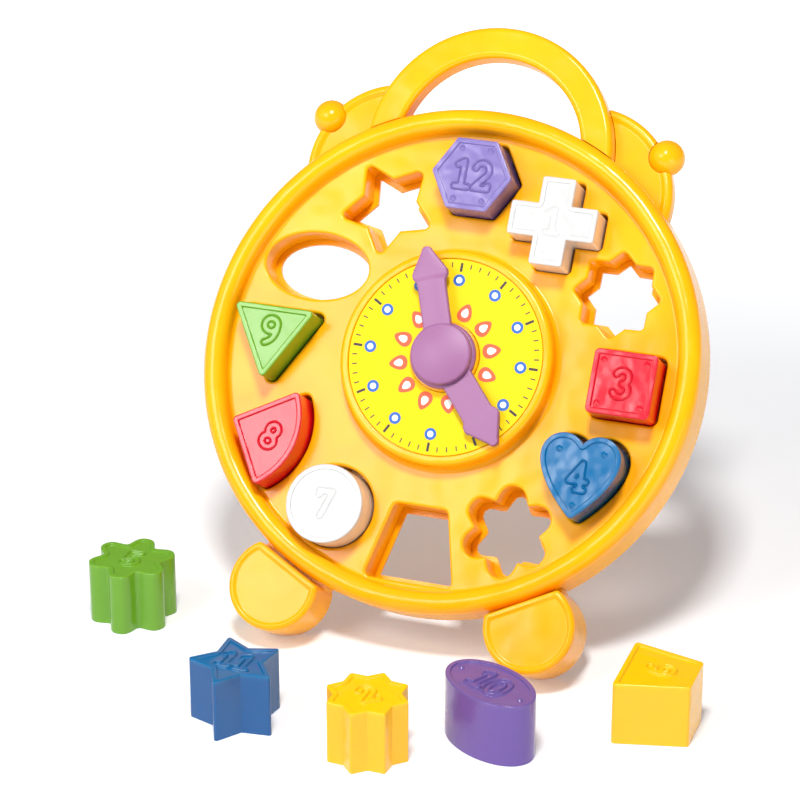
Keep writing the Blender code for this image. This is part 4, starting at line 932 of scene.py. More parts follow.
class CLOCK_OT_case(bpy.types.Operator):
    """Finish the front shell and the rear shell"""

    bl_idname = "clock_toy.case"
    bl_label = "Case shells"

    def execute(self, context):
        case = context.scene.clock_case
        paint = materials()["body"]
        profile = shell_profile(case, context.scene.clock_dial)
        shell = piece_of("front_shell_finished", add_turned, profile, 192)
        seat = seat_depth(case)
        wide = case.hole_play + case.hole_wall
        lining = hole_solids("lining", case, [(wide, case.panel + case.wall / 2), (wide, seat)])
        combine(shell, "UNION", lining)
        play, lip = case.hole_play, case.hole_round
        levels = [(play + lip, case.panel - PAST)]
        levels += [(play + inset, depth) for inset, depth in edge_levels(lip, case.panel, 6)]
        levels.append((play, seat + PAST))
        slots = [sector("slot", case.radius - case.wall - PAST / 2, case.radius + PAST, front,
                        case.depth + PAST, middle, half)
                 for front, middle, half in wall_slots(case, context.scene.clock_trim)]
        combine(shell, "DIFFERENCE", hole_solids("holes", case, levels), *slots)
        finish(even_shading(shell), "front_shell", "case", paint)
        rear = shaded_copy("rear_shell", "rear_shell_finished")
        finish(rear, "rear_shell", "case", paint)
        return {"FINISHED"}


class CLOCK_OT_handle(bpy.types.Operator):
    """Make the carrying handle"""

    bl_idname = "clock_toy.handle"
    bl_label = "Handle"

    def execute(self, context):
        case, trim = context.scene.clock_case, context.scene.clock_trim
        soft = trim.handle_round
        inside, outside = trim.handle_inner + soft, trim.handle_outer - soft
        front, back = trim.handle_front + soft, trim.handle_back - soft
        middles = (inside, front), (outside, front), (outside, back), (inside, back)
        profile = []
        for turns, middle in enumerate(middles, 2):
            profile += arc(middle, soft, turns * RIGHT_ANGLE, (turns + 1) * RIGHT_ANGLE, 6)
        dip = math.radians(4)
        piece = piece_of("handle_finished", add_swept, profile, -dip, math.pi + dip, 112,
                         (0.0, trim.handle_centre))
        combine(piece, "DIFFERENCE", *case_drums(case, trim))
        arm_start, arm_end, _ = neck_spans(case, trim)
        for side in (1, -1):
            combine(piece, "UNION", flange(case, trim, neck_front(case), trim.handle_back,
                                           *span(side, arm_start, arm_end)))
        finish(even_shading(piece), "handle", "case", materials()["body"])
        return {"FINISHED"}


def knob_place(trim, side):
    return (side * (trim.bell_across + trim.bell_radius * math.cos(trim.knob_angle)),
            trim.bell_up + trim.bell_radius * math.sin(trim.knob_angle))


def knob_ball(name, trim, side, radius, rows=24):
    """A fine ball in the middle of a bell's thickness, at its edge."""
    depth = (trim.bell_front + trim.bell_back) / 2
    angles = [math.pi * i / rows for i in range(1, rows)]
    profile = [(radius * math.sin(angle), depth - radius * math.cos(angle)) for angle in angles]
    profile = [(0.0, depth - radius)] + profile + [(0.0, depth + radius)]
    return piece_of(name, add_turned, profile, 2 * rows, knob_place(trim, side))


def knob_pin(name, trim, side, grow):
    """The pin that runs from a knob towards its bell's centre."""
    depth = (trim.bell_front + trim.bell_back) / 2
    inward = Vector((-side * math.cos(trim.knob_angle), -math.sin(trim.knob_angle)))
    across = Vector((-inward.y, inward.x))
    rings = []
    for run in (trim.knob_radius / 2, trim.knob_radius + trim.knob_pin_length + grow):
        middle = Vector(knob_place(trim, side)) + inward * run
        rings.append([(middle.x + across.x * shift, level, middle.y + across.y * shift)
                      for shift, level in arc((0.0, depth), trim.knob_pin + grow, 0, FULL_TURN, 24)[:-1]])
    return piece_of(name, add_skin, rings)


def make_bell(name, case, trim, side):
    """A round cheek with a rounded rim, tucked in behind the handle, with its neck and socket."""
    radius, gap, back_round = trim.bell_radius, case.clearance, 0.0008
    profile = [(0.0, trim.bell_front + trim.bell_recess)]
    profile += [(radius - inset, depth) for inset, depth in
                rim_levels(trim.bell_round, trim.bell_rim, trim.bell_recess, trim.bell_front)]
    profile += arc((radius - back_round, trim.bell_back - back_round), back_round, 0, RIGHT_ANGLE, 3)
    profile.append((0.0, trim.bell_back))
    bell = piece_of(name, add_turned, profile, 144, (side * trim.bell_across, trim.bell_up))
    behind = trim.handle_back + gap
    inside, outside = trim.handle_inner, trim.handle_outer + gap
    arch = (0.0, trim.handle_centre)
    within = drum("within", inside + trim.bell_overlap, 0.0, case.depth, centre=arch)
    profile = [(inside, 0.0), (outside, 0.0), (outside, behind), (inside, behind)]
    notch = piece_of("notch", add_turned, profile, 144, arch)
    arm_start, arm_end, bell_end = neck_spans(case, trim)
    room = flange(case, trim, 0.0, behind, *span(side, arm_start, arm_end), 2 * gap)
    combine(bell, "DIFFERENCE", within, notch, *case_drums(case, trim), room)
    middle, half = span(side, arm_start, bell_end)
    neck = sector("neck", flange_middle(case, trim), case.radius + gap / 2, behind + gap,
                  seat_depth(case) - gap, middle, half - gap / case.radius)
    combine(bell, "UNION", flange(case, trim, behind, seat_depth(case), middle, half), neck)
    return combine(bell, "DIFFERENCE", knob_ball("socket", trim, side, trim.knob_radius + gap),
                   knob_pin("bore", trim, side, gap))


class CLOCK_OT_bells(bpy.types.Operator):
    """Make the two bells and their knobs"""

    bl_idname = "clock_toy.bells"
    bl_label = "Bells and knobs"

    def execute(self, context):
        case, trim = context.scene.clock_case, context.scene.clock_trim
        paint = materials()["body"]
        for name, side in (("left_bell", -1), ("right_bell", 1)):
            bell = make_bell(name + "_finished", case, trim, side)
            finish(even_shading(bell), name, "case", paint)
            knob = knob_ball(name + "_knob_finished", trim, side, trim.knob_radius)
            combine(knob, "UNION", knob_pin("pin", trim, side, 0.0))
            finish(even_shading(knob), name + "_knob", "case", paint)
        return {"FINISHED"}


def foot_outline(trim, corner=0.0018):
    """A circle with one straight side, up, and round corners where they meet."""
    level = trim.foot_drop - corner
    reach = math.sqrt((trim.foot_radius - corner) ** 2 - level ** 2)
    blend = math.atan2(level, reach)
    points = arc((-reach, level), corner, RIGHT_ANGLE, 2 * RIGHT_ANGLE - blend, 6)
    points += arc((0, 0), trim.foot_radius, 2 * RIGHT_ANGLE - blend, 4 * RIGHT_ANGLE + blend, 96)[1:-1]
    return points + arc((reach, level), corner, blend, RIGHT_ANGLE, 6)


def make_foot(name, case, trim, side):
    """A foot with a rounded rim about its face, a neck through the case wall and a level sole."""
    centre = (side * trim.foot_distance * math.sin(trim.foot_angle),
              -trim.foot_distance * math.cos(trim.foot_angle))
    swing = Matrix.Rotation(side * trim.foot_angle, 2)
    outline = [tuple(swing @ Vector(point)) for point in foot_outline(trim)]
    levels = rim_levels(trim.foot_round, trim.foot_rim, trim.foot_recess, 0.0)
    levels += [(0.0, case.depth - case.edge), (case.edge, case.depth)]
    foot = piece_of(name, add_stack, lambda grow: offset_outline(outline, grow),
                    [(-inset, depth) for inset, depth in levels], centre)
    spread = clock_angle(side * (math.pi - trim.foot_angle)), trim.foot_spread
    neck = sector("neck", flange_middle(case, trim), trim.foot_distance - trim.foot_drop / 2,
                  neck_front(case) + case.clearance, seat_depth(case) - case.clearance, *spread)
    combine(foot, "UNION", neck, flange(case, trim, neck_front(case), seat_depth(case), *spread))
    low, reach = CAD_BOX[0][2], 2 * case.radius
    rings = [[(x * reach, y * reach, z) for x, y in SQUARE] for z in (low, low - reach)]
    return combine(foot, "DIFFERENCE", piece_of("ground", add_skin, rings, place=Matrix.Identity(4)))


class CLOCK_OT_feet(bpy.types.Operator):
    """Make the two feet"""

    bl_idname = "clock_toy.feet"
    bl_label = "Feet"

    def execute(self, context):
        case, trim = context.scene.clock_case, context.scene.clock_trim
        for name, side in (("left_foot", -1), ("right_foot", 1)):
            foot = make_foot(name + "_finished", case, trim, side)
            finish(even_shading(foot), name, "case", materials()["body"])
        return {"FINISHED"}


class CLOCK_OT_stand(bpy.types.Operator):
    """Finish the folding rear stand and its hinge pin"""

    bl_idname = "clock_toy.stand"
    bl_label = "Rear stand"

    def execute(self, context):
        paints = materials()
        leg = shaded_copy("rear_stand", "rear_stand_finished", place=Matrix.Identity(4))
        finish(leg, "rear_stand", "stand", paints["body"])
        pin = shaded_copy("stand_hinge_pin", "stand_hinge_pin_finished")
        finish(pin, "stand_hinge_pin", "case", paints["steel"])
        return {"FINISHED"}


class CLOCK_OT_screws(bpy.types.Operator):
    """Finish the case screws and the hand's screw and washer"""

    bl_idname = "clock_toy.screws"
    bl_label = "Screws"

    def execute(self, context):
        paints = materials()
        for number in range(1, 7):
            node = "shell_screw_%d" % number
            piece = shaded_copy(node, node + "_finished")
            finish(piece, node, "case", paints["steel"])
        washer = shaded_copy("hand_washer", "hand_washer_finished")
        finish(washer, "hand_washer", "minute_hand", paints["nylon"])
        screw = shaded_copy("hand_screw", "hand_screw_finished")
        finish(screw, "hand_screw", "minute_hand", paints["steel"])
        return {"FINISHED"}


def clock_spot(radius, hours):
    """A place on the dial, at that hour's angle."""
    angle = RIGHT_ANGLE - hours * math.radians(30)
    return Vector((radius * math.cos(angle), radius * math.sin(angle)))


def add_plate(bm, outline, front, back):
    """A thin flat plate between two depths."""
    add_skin(bm, [[(x, depth, z) for x, z in outline] for depth in (front, back)])


def petal_outline(hours, start, end, width, scale):
    """An egg shape along the line of an hour, its wide end inward, scaled about its middle."""
    out, taper = clock_spot(1.0, hours), 0.35
    across = Vector((-out.y, out.x))
    middle, reach = (start + end) / 2, (end - start) / 2 * scale
    return [out * (middle + reach * x) + across * (width / 2 * scale * z * (1 - taper * x))
            for x, z in oval_points(2.0, 2.0, 40)]


def add_disc(bm, sizes, hole):
    """The printed card, with a bevel along the front of its rim and a hole for the boss."""
    front, outer, edge = sizes.disc_face, sizes.disc_radius, 0.00012
    back = front + sizes.disc_thickness
    add_turned(bm, [(hole, front), (hole + edge, front), (outer - edge, front), (outer, front + edge),
                    (outer, back), (hole, back)], 144)


def add_tick(bm, sizes, minute, inked):
    """The tick of one minute, longer and wider on the hours."""
    heavy = minute % 5 == 0
    length = sizes.hour_tick_length if heavy else sizes.tick_length
    out = clock_spot(1.0, minute / 5)
    half = Vector((-out.y, out.x)) * (sizes.hour_tick_width if heavy else sizes.tick_width) / 2
    end, start = out * sizes.tick_radius, out * (sizes.tick_radius - length)
    add_plate(bm, [start - half, end - half, end + half, start + half], inked, sizes.disc_face)


class CLOCK_OT_dial(bpy.types.Operator):
    """Make the lemon disc and the generic dial printed on it"""

    bl_idname = "clock_toy.dial"
    bl_label = "Printed dial"

    def execute(self, context):
        sizes = context.scene.clock_dial
        paints = materials()
        front = sizes.disc_face
        inked, inked_twice = front - sizes.ink, front - 2 * sizes.ink
        bm = bmesh.new()
        add_disc(bm, sizes, sizes.collar_radius + context.scene.clock_case.clearance)
        finish(mesh_piece("face_disc_printed", bm, sharp=PRINT_SHARP), "face_disc", "case",
               paints["disc"])
        ticks, dots, dot_middles, petals, petal_middles = (bmesh.new() for _ in range(5))
        for minute in range(60):
            add_tick(ticks, sizes, minute, inked)
        petal = sizes.petal_start, sizes.petal_end, sizes.petal_width
        dot_share, petal_share = 0.52, 0.5
        for hour in range(12):
            centre = clock_spot(sizes.dot_ring, hour)
            add_plate(dots, arc(centre, sizes.dot_radius, 0, FULL_TURN, 40)[:-1], inked, front)
            add_plate(dot_middles, arc(centre, sizes.dot_radius * dot_share, 0, FULL_TURN, 32)[:-1],
                      inked_twice, inked)
            add_plate(petals, petal_outline(hour + 0.5, *petal, 1.0), inked, front)
            add_plate(petal_middles, petal_outline(hour + 0.5, *petal, petal_share), inked_twice, inked)
        for name, bm, paint in (("dial_ticks", ticks, "ink_black"), ("dial_dots", dots, "ink_blue"),
                                ("dial_dot_middles", dot_middles, "ink_white"),
                                ("dial_petals", petals, "ink_red"),
                                ("dial_petal_middles", petal_middles, "ink_white")):
            finish(mesh_piece(name, bm, sharp=PRINT_SHARP), None, "case", paints[paint])
        return {"FINISHED"}


# The rounded end of a hand starts this share of its tip radius before the end
TIP_SHARE = 0.75


def hand_width(z, length, shaft, head, sizes):
    """Half width of an arrow hand at a distance z from the centre: shaft, flare, barbs, taper and tip."""
    barb = length - sizes.head_length
    shoulder = head - shaft
    flare_start, flare_end, start = barb - 1.5 * shoulder, barb + 0.7 * shoulder, barb + 1.7 * shoulder
    end, tip = length - TIP_SHARE * sizes.tip_radius, 0.95 * sizes.tip_radius
    if z <= flare_start:
        return shaft
    if z <= flare_end:
        step = (z - flare_start) / (flare_end - flare_start)
        return shaft + shoulder * step * step * (3 - 2 * step)
    if z <= start:
        return head
    if z <= end:
        return head + (tip - head) * (z - start) / (end - start)
    fall = (z - end) / (length - end)
    return tip * math.sqrt(max(1 - fall * fall, 0.0))


def add_hand(bm, sizes, back, length, shaft_width, head_width, relief):
    """An arrow hand as rings across its length: rounded edges, a shallow crown, a lifted head."""
    front = back - sizes.thickness
    shaft, head = shaft_width / 2, head_width / 2
    barb, last = length - sizes.head_length, length - TIP_SHARE * sizes.tip_radius
    root, step, thin, ease = 0.004, 0.002, 0.00015, 0.8
    flare = barb - step, barb + 2 * step
    stations = [root + (flare[0] - root) * i / 10 for i in range(10)]
    stations += [flare[0] + (flare[1] - flare[0]) * i / 16 for i in range(16)]
    stations += [flare[1] + (last - flare[1]) * i / 10 for i in range(10)]
    stations += [last + (length - last) * math.sin(RIGHT_ANGLE * i / 9) for i in range(10)]
    rings = []
    for z in stations:
        wide = max(hand_width(z, length, shaft, head, sizes), thin)
        lift = relief * sizes.head_lift * min(max((z - barb) / step + 0.5, 0.0), 1.0)
        soft = min(sizes.soft, wide * ease)
        face = front - lift + (sizes.soft - soft) * ease
        half = [(wide, back)]
        half += [(wide - soft + x, face + soft - y) for x, y in arc((0, 0), soft, 0, RIGHT_ANGLE, 5)]
        for part in (0.66, 0.33, 0.0):
            rise = relief * sizes.crown * (1 - part * part) * min(wide / shaft, 1.0)
            half.append(((wide - soft) * part, face - rise))
        ring = half + [(-x, depth) for x, depth in reversed(half[:-1])]
        rings.append([(x, depth, z) for x, depth in ring])
    add_skin(bm, rings)


class CLOCK_OT_hands(bpy.types.Operator):
    """Make the hour hand and the minute hand"""

    bl_idname = "clock_toy.hands"
    bl_label = "Hands"

    def execute(self, context):
        sizes = context.scene.clock_hands
        paint = materials()["hands"]
        # The hour hand's hub is flat and its relief low, as the minute hand turns over it
        for name, domed, relief in (("hour", 0.0, 0.2), ("minute", 1.0, 1.0)):
            back, hub, length, shaft, head, angle = (
                getattr(sizes, name + part)
                for part in ("_back", "_hub", "_length", "_shaft", "_head", "_angle"))
            front = back - sizes.thickness - sizes.hub_rise * domed
            profile = [((hub - sizes.hub_round) * out, front - sizes.hub_dome * domed * (1 - out * out))
                       for out in (i / 8 for i in range(9))]
            profile += [(hub - inset, depth) for inset, depth in edge_levels(sizes.hub_round, front, 6)[1:]]
            profile += [(hub, back), (0.0, back)]
            place = CLOCK @ Matrix.Rotation(-angle, 4, "Y")
            name += "_hand"
            piece = piece_of(name + "_finished", add_turned, profile, 96, place=place)
            combine(piece, "UNION", piece_of("bar", add_hand, sizes, back, length, shaft, head, relief,
                                             place=place))
            finish(even_shading(piece), name, name, paint)
        return {"FINISHED"}


# The centre lines of each digit, as shares of its height from its lower left corner: lines by their
# points, ovals by middle, half width, half height and the degrees where they start and end
DIGIT_STROKES_SHARES = {
    0: [("oval", 0.30, 0.50, 0.25, 0.40, 0, 360)],
    1: [("line", 0.14, 0.78, 0.32, 0.90, 0.32, 0.10), ("line", 0.12, 0.10, 0.52, 0.10)],
    2: [("oval", 0.30, 0.67, 0.22, 0.23, 165, -38),
        ("line", 0.474, 0.53, 0.10, 0.10, 0.54, 0.10, 0.54, 0.20)],
    3: [("oval", 0.28, 0.70, 0.20, 0.20, 155, -80), ("oval", 0.28, 0.30, 0.23, 0.20, 80, -155)],
    4: [("line", 0.42, 0.10, 0.42, 0.90, 0.06, 0.36, 0.58, 0.36), ("line", 0.30, 0.10, 0.54, 0.10)],
    5: [("line", 0.50, 0.90, 0.16, 0.90, 0.13, 0.53), ("oval", 0.28, 0.33, 0.25, 0.23, 125, -150)],
    6: [("oval", 0.30, 0.31, 0.22, 0.21, 0, 360), ("oval", 0.50, 0.36, 0.42, 0.54, 176, 100)],
    7: [("line", 0.10, 0.76, 0.10, 0.90, 0.52, 0.90, 0.24, 0.10)],
    8: [("oval", 0.30, 0.70, 0.18, 0.19, 0, 360), ("oval", 0.30, 0.30, 0.22, 0.20, 0, 360)],
    9: [("oval", 0.30, 0.69, 0.22, 0.21, 0, 360), ("oval", 0.10, 0.64, 0.42, 0.54, -4, -80)],
}
DIGIT_ADVANCE_SHARE = 0.62


def number_segments(number, height):
    """Straight pieces of a number's centre lines, about its own middle."""
    digits = [int(letter) for letter in str(number)]
    wide = DIGIT_ADVANCE_SHARE * len(digits) * height
    segments = []
    for place, digit in enumerate(digits):
        for kind, *values in DIGIT_STROKES_SHARES[digit]:
            if kind == "line":
                points = list(zip(values[::2], values[1::2]))
            else:
                x, z, half_wide, half_high, start, end = values
                steps = 24
                angles = [math.radians(start + (end - start) * i / steps) for i in range(steps + 1)]
                points = [(x + half_wide * math.cos(a), z + half_high * math.sin(a)) for a in angles]
            moved = [(x * height + place * DIGIT_ADVANCE_SHARE * height - wide / 2, (z - 0.5) * height)
                     for x, z in points]
            segments.extend(zip(moved, moved[1:]))
    return numpy.array(segments)


def distance_grid(segments, distance, cell):
    """The spots of a square grid about the segments, and how much further than distance each lies."""
    low = segments.reshape(-1, 2).min(axis=0) - distance - 3 * cell
    high = segments.reshape(-1, 2).max(axis=0) + distance + 3 * cell
    count = numpy.ceil((high - low) / cell).astype(int) + 1
    x, z = numpy.meshgrid(low[0] + cell * numpy.arange(count[0]), low[1] + cell * numpy.arange(count[1]),
                          indexing="ij")
    spots = numpy.stack((x, z), axis=-1)
    field = numpy.full(x.shape, numpy.inf)
    for start, end in segments:
        along = end - start
        reach = numpy.clip(((spots - start) @ along) / (along @ along), 0, 1)
        gap = spots - start - reach[..., None] * along
        field = numpy.minimum(field, numpy.hypot(gap[..., 0], gap[..., 1]))
    return spots, field - distance


def contour_links(field):
    """The sides of the grid's cells that the line of value zero crosses, each with the next ones on it."""
    links = {}
    rows, columns = field.shape
    for i in range(rows - 1):
        for k in range(columns - 1):
            corners = [(i, k), (i + 1, k), (i + 1, k + 1), (i, k + 1)]
            inside = [bool(field[corner] < 0) for corner in corners]
            if all(inside) or not any(inside):
                continue
            cuts = [tuple(sorted((corners[s], corners[(s + 1) % 4]))) for s in range(4)
                    if inside[s] != inside[(s + 1) % 4]]
            for a, b in zip(cuts[::2], cuts[1::2]):
                links.setdefault(a, []).append(b)
                links.setdefault(b, []).append(a)
    return links


def contour_loops(segments, distance, cell=0.00022):
    """Closed lines at one distance from the segments, traced over a square grid."""
    spots, field = distance_grid(segments, distance, cell)
    links = contour_links(field)
    loops = []
    while links:
        first = here = next(iter(links))
        loop = []
        while here in links:
            loop.append(here)
            ahead = links[here].pop()
            links[ahead].remove(here)
            if not links[here]:
                del links[here]
            here = ahead
            if here == first:
                links.pop(first, None)
        loops.append(numpy.array([spots[a] + (spots[b] - spots[a]) * field[a] / (field[a] - field[b])
                                  for a, b in loop]))
    return loops


def even_loop(loop, step=0.00035):
    """The same closed line, smoothed a little, with points at even distances."""
    for _ in range(2):
        loop = (numpy.roll(loop, 1, axis=0) + 2 * loop + numpy.roll(loop, -1, axis=0)) / 4
    closed = numpy.vstack((loop, loop[:1]))
    lengths = numpy.linalg.norm(numpy.diff(closed, axis=0), axis=1)
    lengths = numpy.concatenate(([0], numpy.cumsum(lengths)))
    count = max(int(lengths[-1] / step), 8)
    marks = numpy.linspace(0, lengths[-1], count, endpoint=False)
    return numpy.stack([numpy.interp(marks, lengths, closed[:, axis]) for axis in (0, 1)], axis=1)


def add_ridge(bm, loop, width, rise, floor):
    """A raised rounded line along a closed loop, rooted a little below a face at the depth named floor."""
    sink, root, steps = 0.00004, 0.0003, 10
    along = numpy.roll(loop, -1, axis=0) - numpy.roll(loop, 1, axis=0)
    along /= numpy.linalg.norm(along, axis=1)[:, None]
    out = numpy.stack((along[:, 1], -along[:, 0]), axis=1)
    section = []
    for i in range(steps + 1):
        part = 2 * i / steps - 1
        section.append((part / 2, sink - (rise + sink) * (math.cos(math.pi * part) + 1) / 2))
    section += [(0.5, root), (-0.5, root)]
    rings = [[(point[0] + side[0] * across * width, floor + lift, point[1] + side[1] * across * width)
              for across, lift in section] for point, side in zip(loop, out)]
    add_skin(bm, rings, closed=True)


def add_pip(bm, place, radius, rise, floor):
    """A low round dome on a face, with a soft foot."""
    sink, root, steps, foot = 0.00004, 0.0004, 8, 1.25 * radius
    profile = [(foot * i / steps, floor + sink - rise * (math.cos(math.pi * i / steps) + 1) / 2)
               for i in range(steps + 1)]
    add_turned(bm, profile + [(foot, floor + root), (0.0, floor + root)], 24, place)


def mirrored(x, z):
    """Four places, one in each corner."""
    return tuple((x * across, z * up) for across, up in SQUARE)


# Shape, outline, paint, height and turn of the number, and the places of the pips
BLOCKS = {
    1: ("cross", cross_outline, "white", 0.0150, 0, ()),
    2: ("small_star", small_star_outline, "yellow", 0.0150, 40, ()),
    3: ("square", square_outline, "red", 0.0165, 0, mirrored(0.0110, 0.0110)),
    4: ("heart", heart_outline, "blue", 0.0165, 0, ((-0.0115, 0.0125), (0.0115, 0.0125), (0.0, -0.0145))),
    5: ("flower", flower_outline, "green", 0.0150, 0, ()),
    6: ("trapezoid", trapezoid_outline, "yellow", 0.0150, 180, ()),
    7: ("circle", circle_outline, "white", 0.0160, 0, ()),
    8: ("quarter", quarter_outline, "red", 0.0150, -20, ()),
    9: ("triangle", triangle_outline, "green", 0.0160, 0, ()),
    10: ("oval", oval_outline, "purple", 0.0170, 0, ((-0.0205, 0.0), (0.0205, 0.0))),
    11: ("big_star", big_star_outline, "blue", 0.0150, 0, ()),
    12: ("hexagon", hexagon_outline, "lavender", 0.0165, 0, mirrored(0.0075, 0.0132)),
}
# Degrees by which each loose block on the floor is turned
LOOSE_TURNS = {2: -3, 5: 2, 6: -90, 10: -30, 11: -6}


def block_place(hour, node, outline):
    """Where a block's own frame lies: its face at -Y and its open end at Y zero."""
    pose = CLOCK.to_3x3().to_4x4()
    if hour in LOOSE_TURNS:
        turned = math.radians(LOOSE_TURNS[hour])
        pose = Matrix.Rotation(turned, 4, "Z") @ Matrix.Rotation(-RIGHT_ANGLE, 4, "X")
    points = numpy.array([pose.inverted() @ vertex.co for vertex in frame["nodes"][node].data.vertices])
    shape = numpy.array(outline(0.0))
    middle = (points.min(axis=0) + points.max(axis=0)) / 2
    own = (shape.min(axis=0) + shape.max(axis=0)) / 2
    origin = Vector((middle[0] - own[0], points[:, 1].max(), middle[2] - own[1]))
    return Matrix.Translation(pose @ origin) @ pose


def block_levels(sizes, recess):
    """Growth and depth all over a hollow block: inside, about its open end, up its side, over its rim."""
    top = -sizes.height
    floor = top + recess
    rim, edge, wall, bevel = sizes.rim, sizes.edge, sizes.wall, sizes.bevel
    inner, soft = sizes.inside_bevel, recess / 2
    levels = [(-wall - inner, floor + wall), (-wall, floor + wall + inner), (-wall, -inner),
              (bevel - wall, 0.0), (-bevel, 0.0), (0.0, -bevel)]
    levels += [(-inset, depth) for inset, depth in reversed(edge_levels(edge, top))]
    levels += [(-edge - (rim - edge) * part, top) for part in (0.25, 0.5)]
    turns = [RIGHT_ANGLE * i / 3 for i in range(4)]
    levels += [(soft - rim - soft * math.sin(a), top + soft - soft * math.cos(a)) for a in turns]
    levels += [(-rim - soft + soft * math.cos(a), floor - soft + soft * math.sin(a)) for a in turns[1:]]
    return levels + [(-rim - soft - bevel, floor)]


class CLOCK_OT_blocks(bpy.types.Operator):
    """Make the twelve numbered blocks"""

    bl_idname = "clock_toy.blocks"
    bl_label = "Shape blocks"

    def execute(self, context):
        sizes = context.scene.clock_blocks
        paints = materials()
        for hour, (shape, outline, paint, tall, tilt, pips) in BLOCKS.items():
            node = "block_%d_%s" % (hour, shape)
            # The rim and the number stand out less on the white blocks
            recess_share, rise_share = (0.5, 0.25) if paint == "white" else (1.0, 1.0)
            recess = sizes.recess * recess_share
            floor = recess - sizes.height
            bm = bmesh.new()
            add_stack(bm, outline, block_levels(sizes, recess))
            swing = numpy.array(Matrix.Rotation(math.radians(tilt), 2))
            for loop in contour_loops(number_segments(hour, tall) @ swing.T, sizes.stroke):
                add_ridge(bm, even_loop(loop), sizes.ridge, sizes.ridge_rise * rise_share, floor)
            for pip in pips:
                add_pip(bm, pip, sizes.pip_radius, sizes.pip_rise, floor)
            piece = mesh_piece(node + "_finished", bm, block_place(hour, node, outline))
            body = node if node in frame["bodies"] else "case"
            finish(even_shading(piece), node, body, paints[paint])
        return {"FINISHED"}


# Name, place from the dial's centre, width and power of each lamp
LAMPS = (
    ("overhead softbox", (0.12, -0.63, 1.36), 0.25, 20.0),
    ("right softbox", (1.1, -0.8, -0.04), 0.8, 5.0),
    ("left softbox", (-1.4, -0.7, 0.8), 1.2, 3.0),
    ("sheen softbox", (-0.66, -1.14, 0.93), 0.6, 9.5),
)


# The camera is fitted to the photograph: its place from the dial's centre, and the ways it looks
CAMERA_PLACE = (0.4540, -1.3825, 0.6659)
CAMERA_RIGHT = (0.945108, 0.326757, 0.0)
CAMERA_AHEAD = (-0.295258, 0.853972, -0.428433)
CAMERA_LENS = 142.93
CAMERA_SENSOR = 36.0
# Half the side of the floor
FLOOR_REACH = 6.0


def area_light(name, place, width, power):
    """A square lamp that looks at the dial's centre."""
    lamp = bpy.data.lights.new(name, "AREA")
    lamp.shape = "SQUARE"
    lamp.size = width
    lamp.energy = power
    aim = (-Vector(place)).to_track_quat("-Z", "Y").to_matrix().to_4x4()
    link(bpy.data.objects.new(name, lamp), Matrix.Translation(DIAL_CENTRE + Vector(place)) @ aim)


def floor_paper():
    """Pale paper that glows a little, more so further out, so that its far parts are white."""
    paper = bpy.data.materials.new("pale paper")
    paper.use_nodes = True
    tree = paper.node_tree
    place = add_node(tree, "TexCoord").outputs["Object"]
    far = add_node(tree, "VectorMath", {0: place}, operation="LENGTH").outputs["Value"]
    # The glow near the toy is a little blue, to offset the yellow light that the case bounces onto the
    # floor
    glow = colour_mix(tree, range_mask(tree, far, 0.24, 1.0), (0.17, 0.19, 0.22, 1), (0.95, 0.95, 0.95, 1))
    fill(tree.nodes["Principled BSDF"], {"Base Color": (0.84, 0.84, 0.84, 1), "Roughness": 0.9,
                                         "Emission Strength": 1.0, "Emission Color": glow})
    return paper


def studio_world():
    """A soft white surround that lights dimly and looks bright to the camera."""
    world = bpy.data.worlds.new("studio")
    world.use_nodes = True
    tree = world.node_tree
    white = (1, 1, 1, 1)
    dim = tree.nodes["Background"]
    fill(dim, {"Color": white, "Strength": 0.20})
    bright = add_node(tree, "Background", {"Color": white, "Strength": 1.0})
    seen = add_node(tree, "MixShader", {0: add_node(tree, "LightPath").outputs["Is Camera Ray"],
                                        1: dim.outputs[0], 2: bright.outputs[0]})
    fill(tree.nodes["World Output"], {"Surface": seen.outputs[0]})
    return world


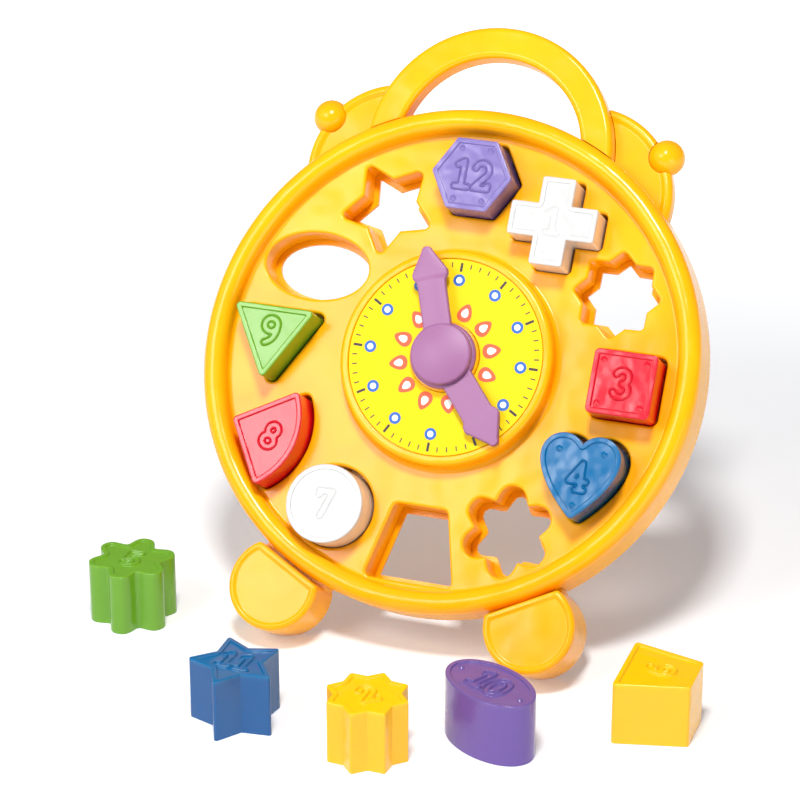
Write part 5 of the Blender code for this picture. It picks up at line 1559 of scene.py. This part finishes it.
class CLOCK_OT_stage(bpy.types.Operator):
    """Make the pale floor, the soft studio lights and the camera"""

    bl_idname = "clock_toy.stage"
    bl_label = "Floor, lights and camera"

    def execute(self, context):
        scene = context.scene
        bm = bmesh.new()
        bm.faces.new([bm.verts.new((x * FLOOR_REACH, y * FLOOR_REACH, 0)) for x, y in SQUARE])
        floor = mesh_piece("floor", bm, Matrix.Identity(4))
        floor.data.materials.append(floor_paper())
        scene.world = studio_world()
        scene.view_settings.view_transform = "Standard"
        for lamp in LAMPS:
            area_light(*lamp)
        camera = bpy.data.cameras.new("camera")
        camera.sensor_width = CAMERA_SENSOR
        camera.lens = CAMERA_LENS
        eye = DIAL_CENTRE + Vector(CAMERA_PLACE)
        right = Vector(CAMERA_RIGHT).normalized()
        ahead = Vector(CAMERA_AHEAD).normalized()
        turned = Matrix((right, right.cross(ahead), -ahead)).transposed().to_4x4()
        scene.camera = link(bpy.data.objects.new("camera", camera), Matrix.Translation(eye) @ turned)
        return {"FINISHED"}


OPERATORS = (CLOCK_OT_case, CLOCK_OT_handle, CLOCK_OT_bells, CLOCK_OT_feet, CLOCK_OT_stand,
             CLOCK_OT_screws, CLOCK_OT_dial, CLOCK_OT_hands, CLOCK_OT_blocks, CLOCK_OT_stage)


class CLOCK_PT_toy(bpy.types.Panel):
    """Lists the sizes, the colours and the steps that build the toy"""

    bl_idname = "CLOCK_PT_toy"
    bl_label = "Learning clock toy"
    bl_space_type = "VIEW_3D"
    bl_region_type = "UI"
    bl_category = "Learning clock"

    def draw(self, context):
        for group in GROUPS:
            box = self.layout.box()
            values = getattr(context.scene, group)
            for key in values.__annotations__:
                box.prop(values, key)
        for step in OPERATORS:
            self.layout.operator(step.bl_idname)


GROUPS = {"clock_case": ClockCaseSizes, "clock_trim": ClockTrimSizes, "clock_dial": ClockDialSizes,
          "clock_hands": ClockHandSizes, "clock_blocks": ClockBlockSizes, "clock_colours": ClockColours}
CLASSES = (*GROUPS.values(), *OPERATORS, CLOCK_PT_toy)


def register():
    for item in CLASSES:
        bpy.utils.register_class(item)
    for name, group in GROUPS.items():
        setattr(bpy.types.Scene, name, PointerProperty(type=group))


def unregister():
    for name in GROUPS:
        delattr(bpy.types.Scene, name)
    for item in reversed(CLASSES):
        bpy.utils.unregister_class(item)


def main():
    register()
    for step in OPERATORS:
        group, name = step.bl_idname.split(".")
        getattr(getattr(bpy.ops, group), name)()


if __name__ == "__main__":
    main()
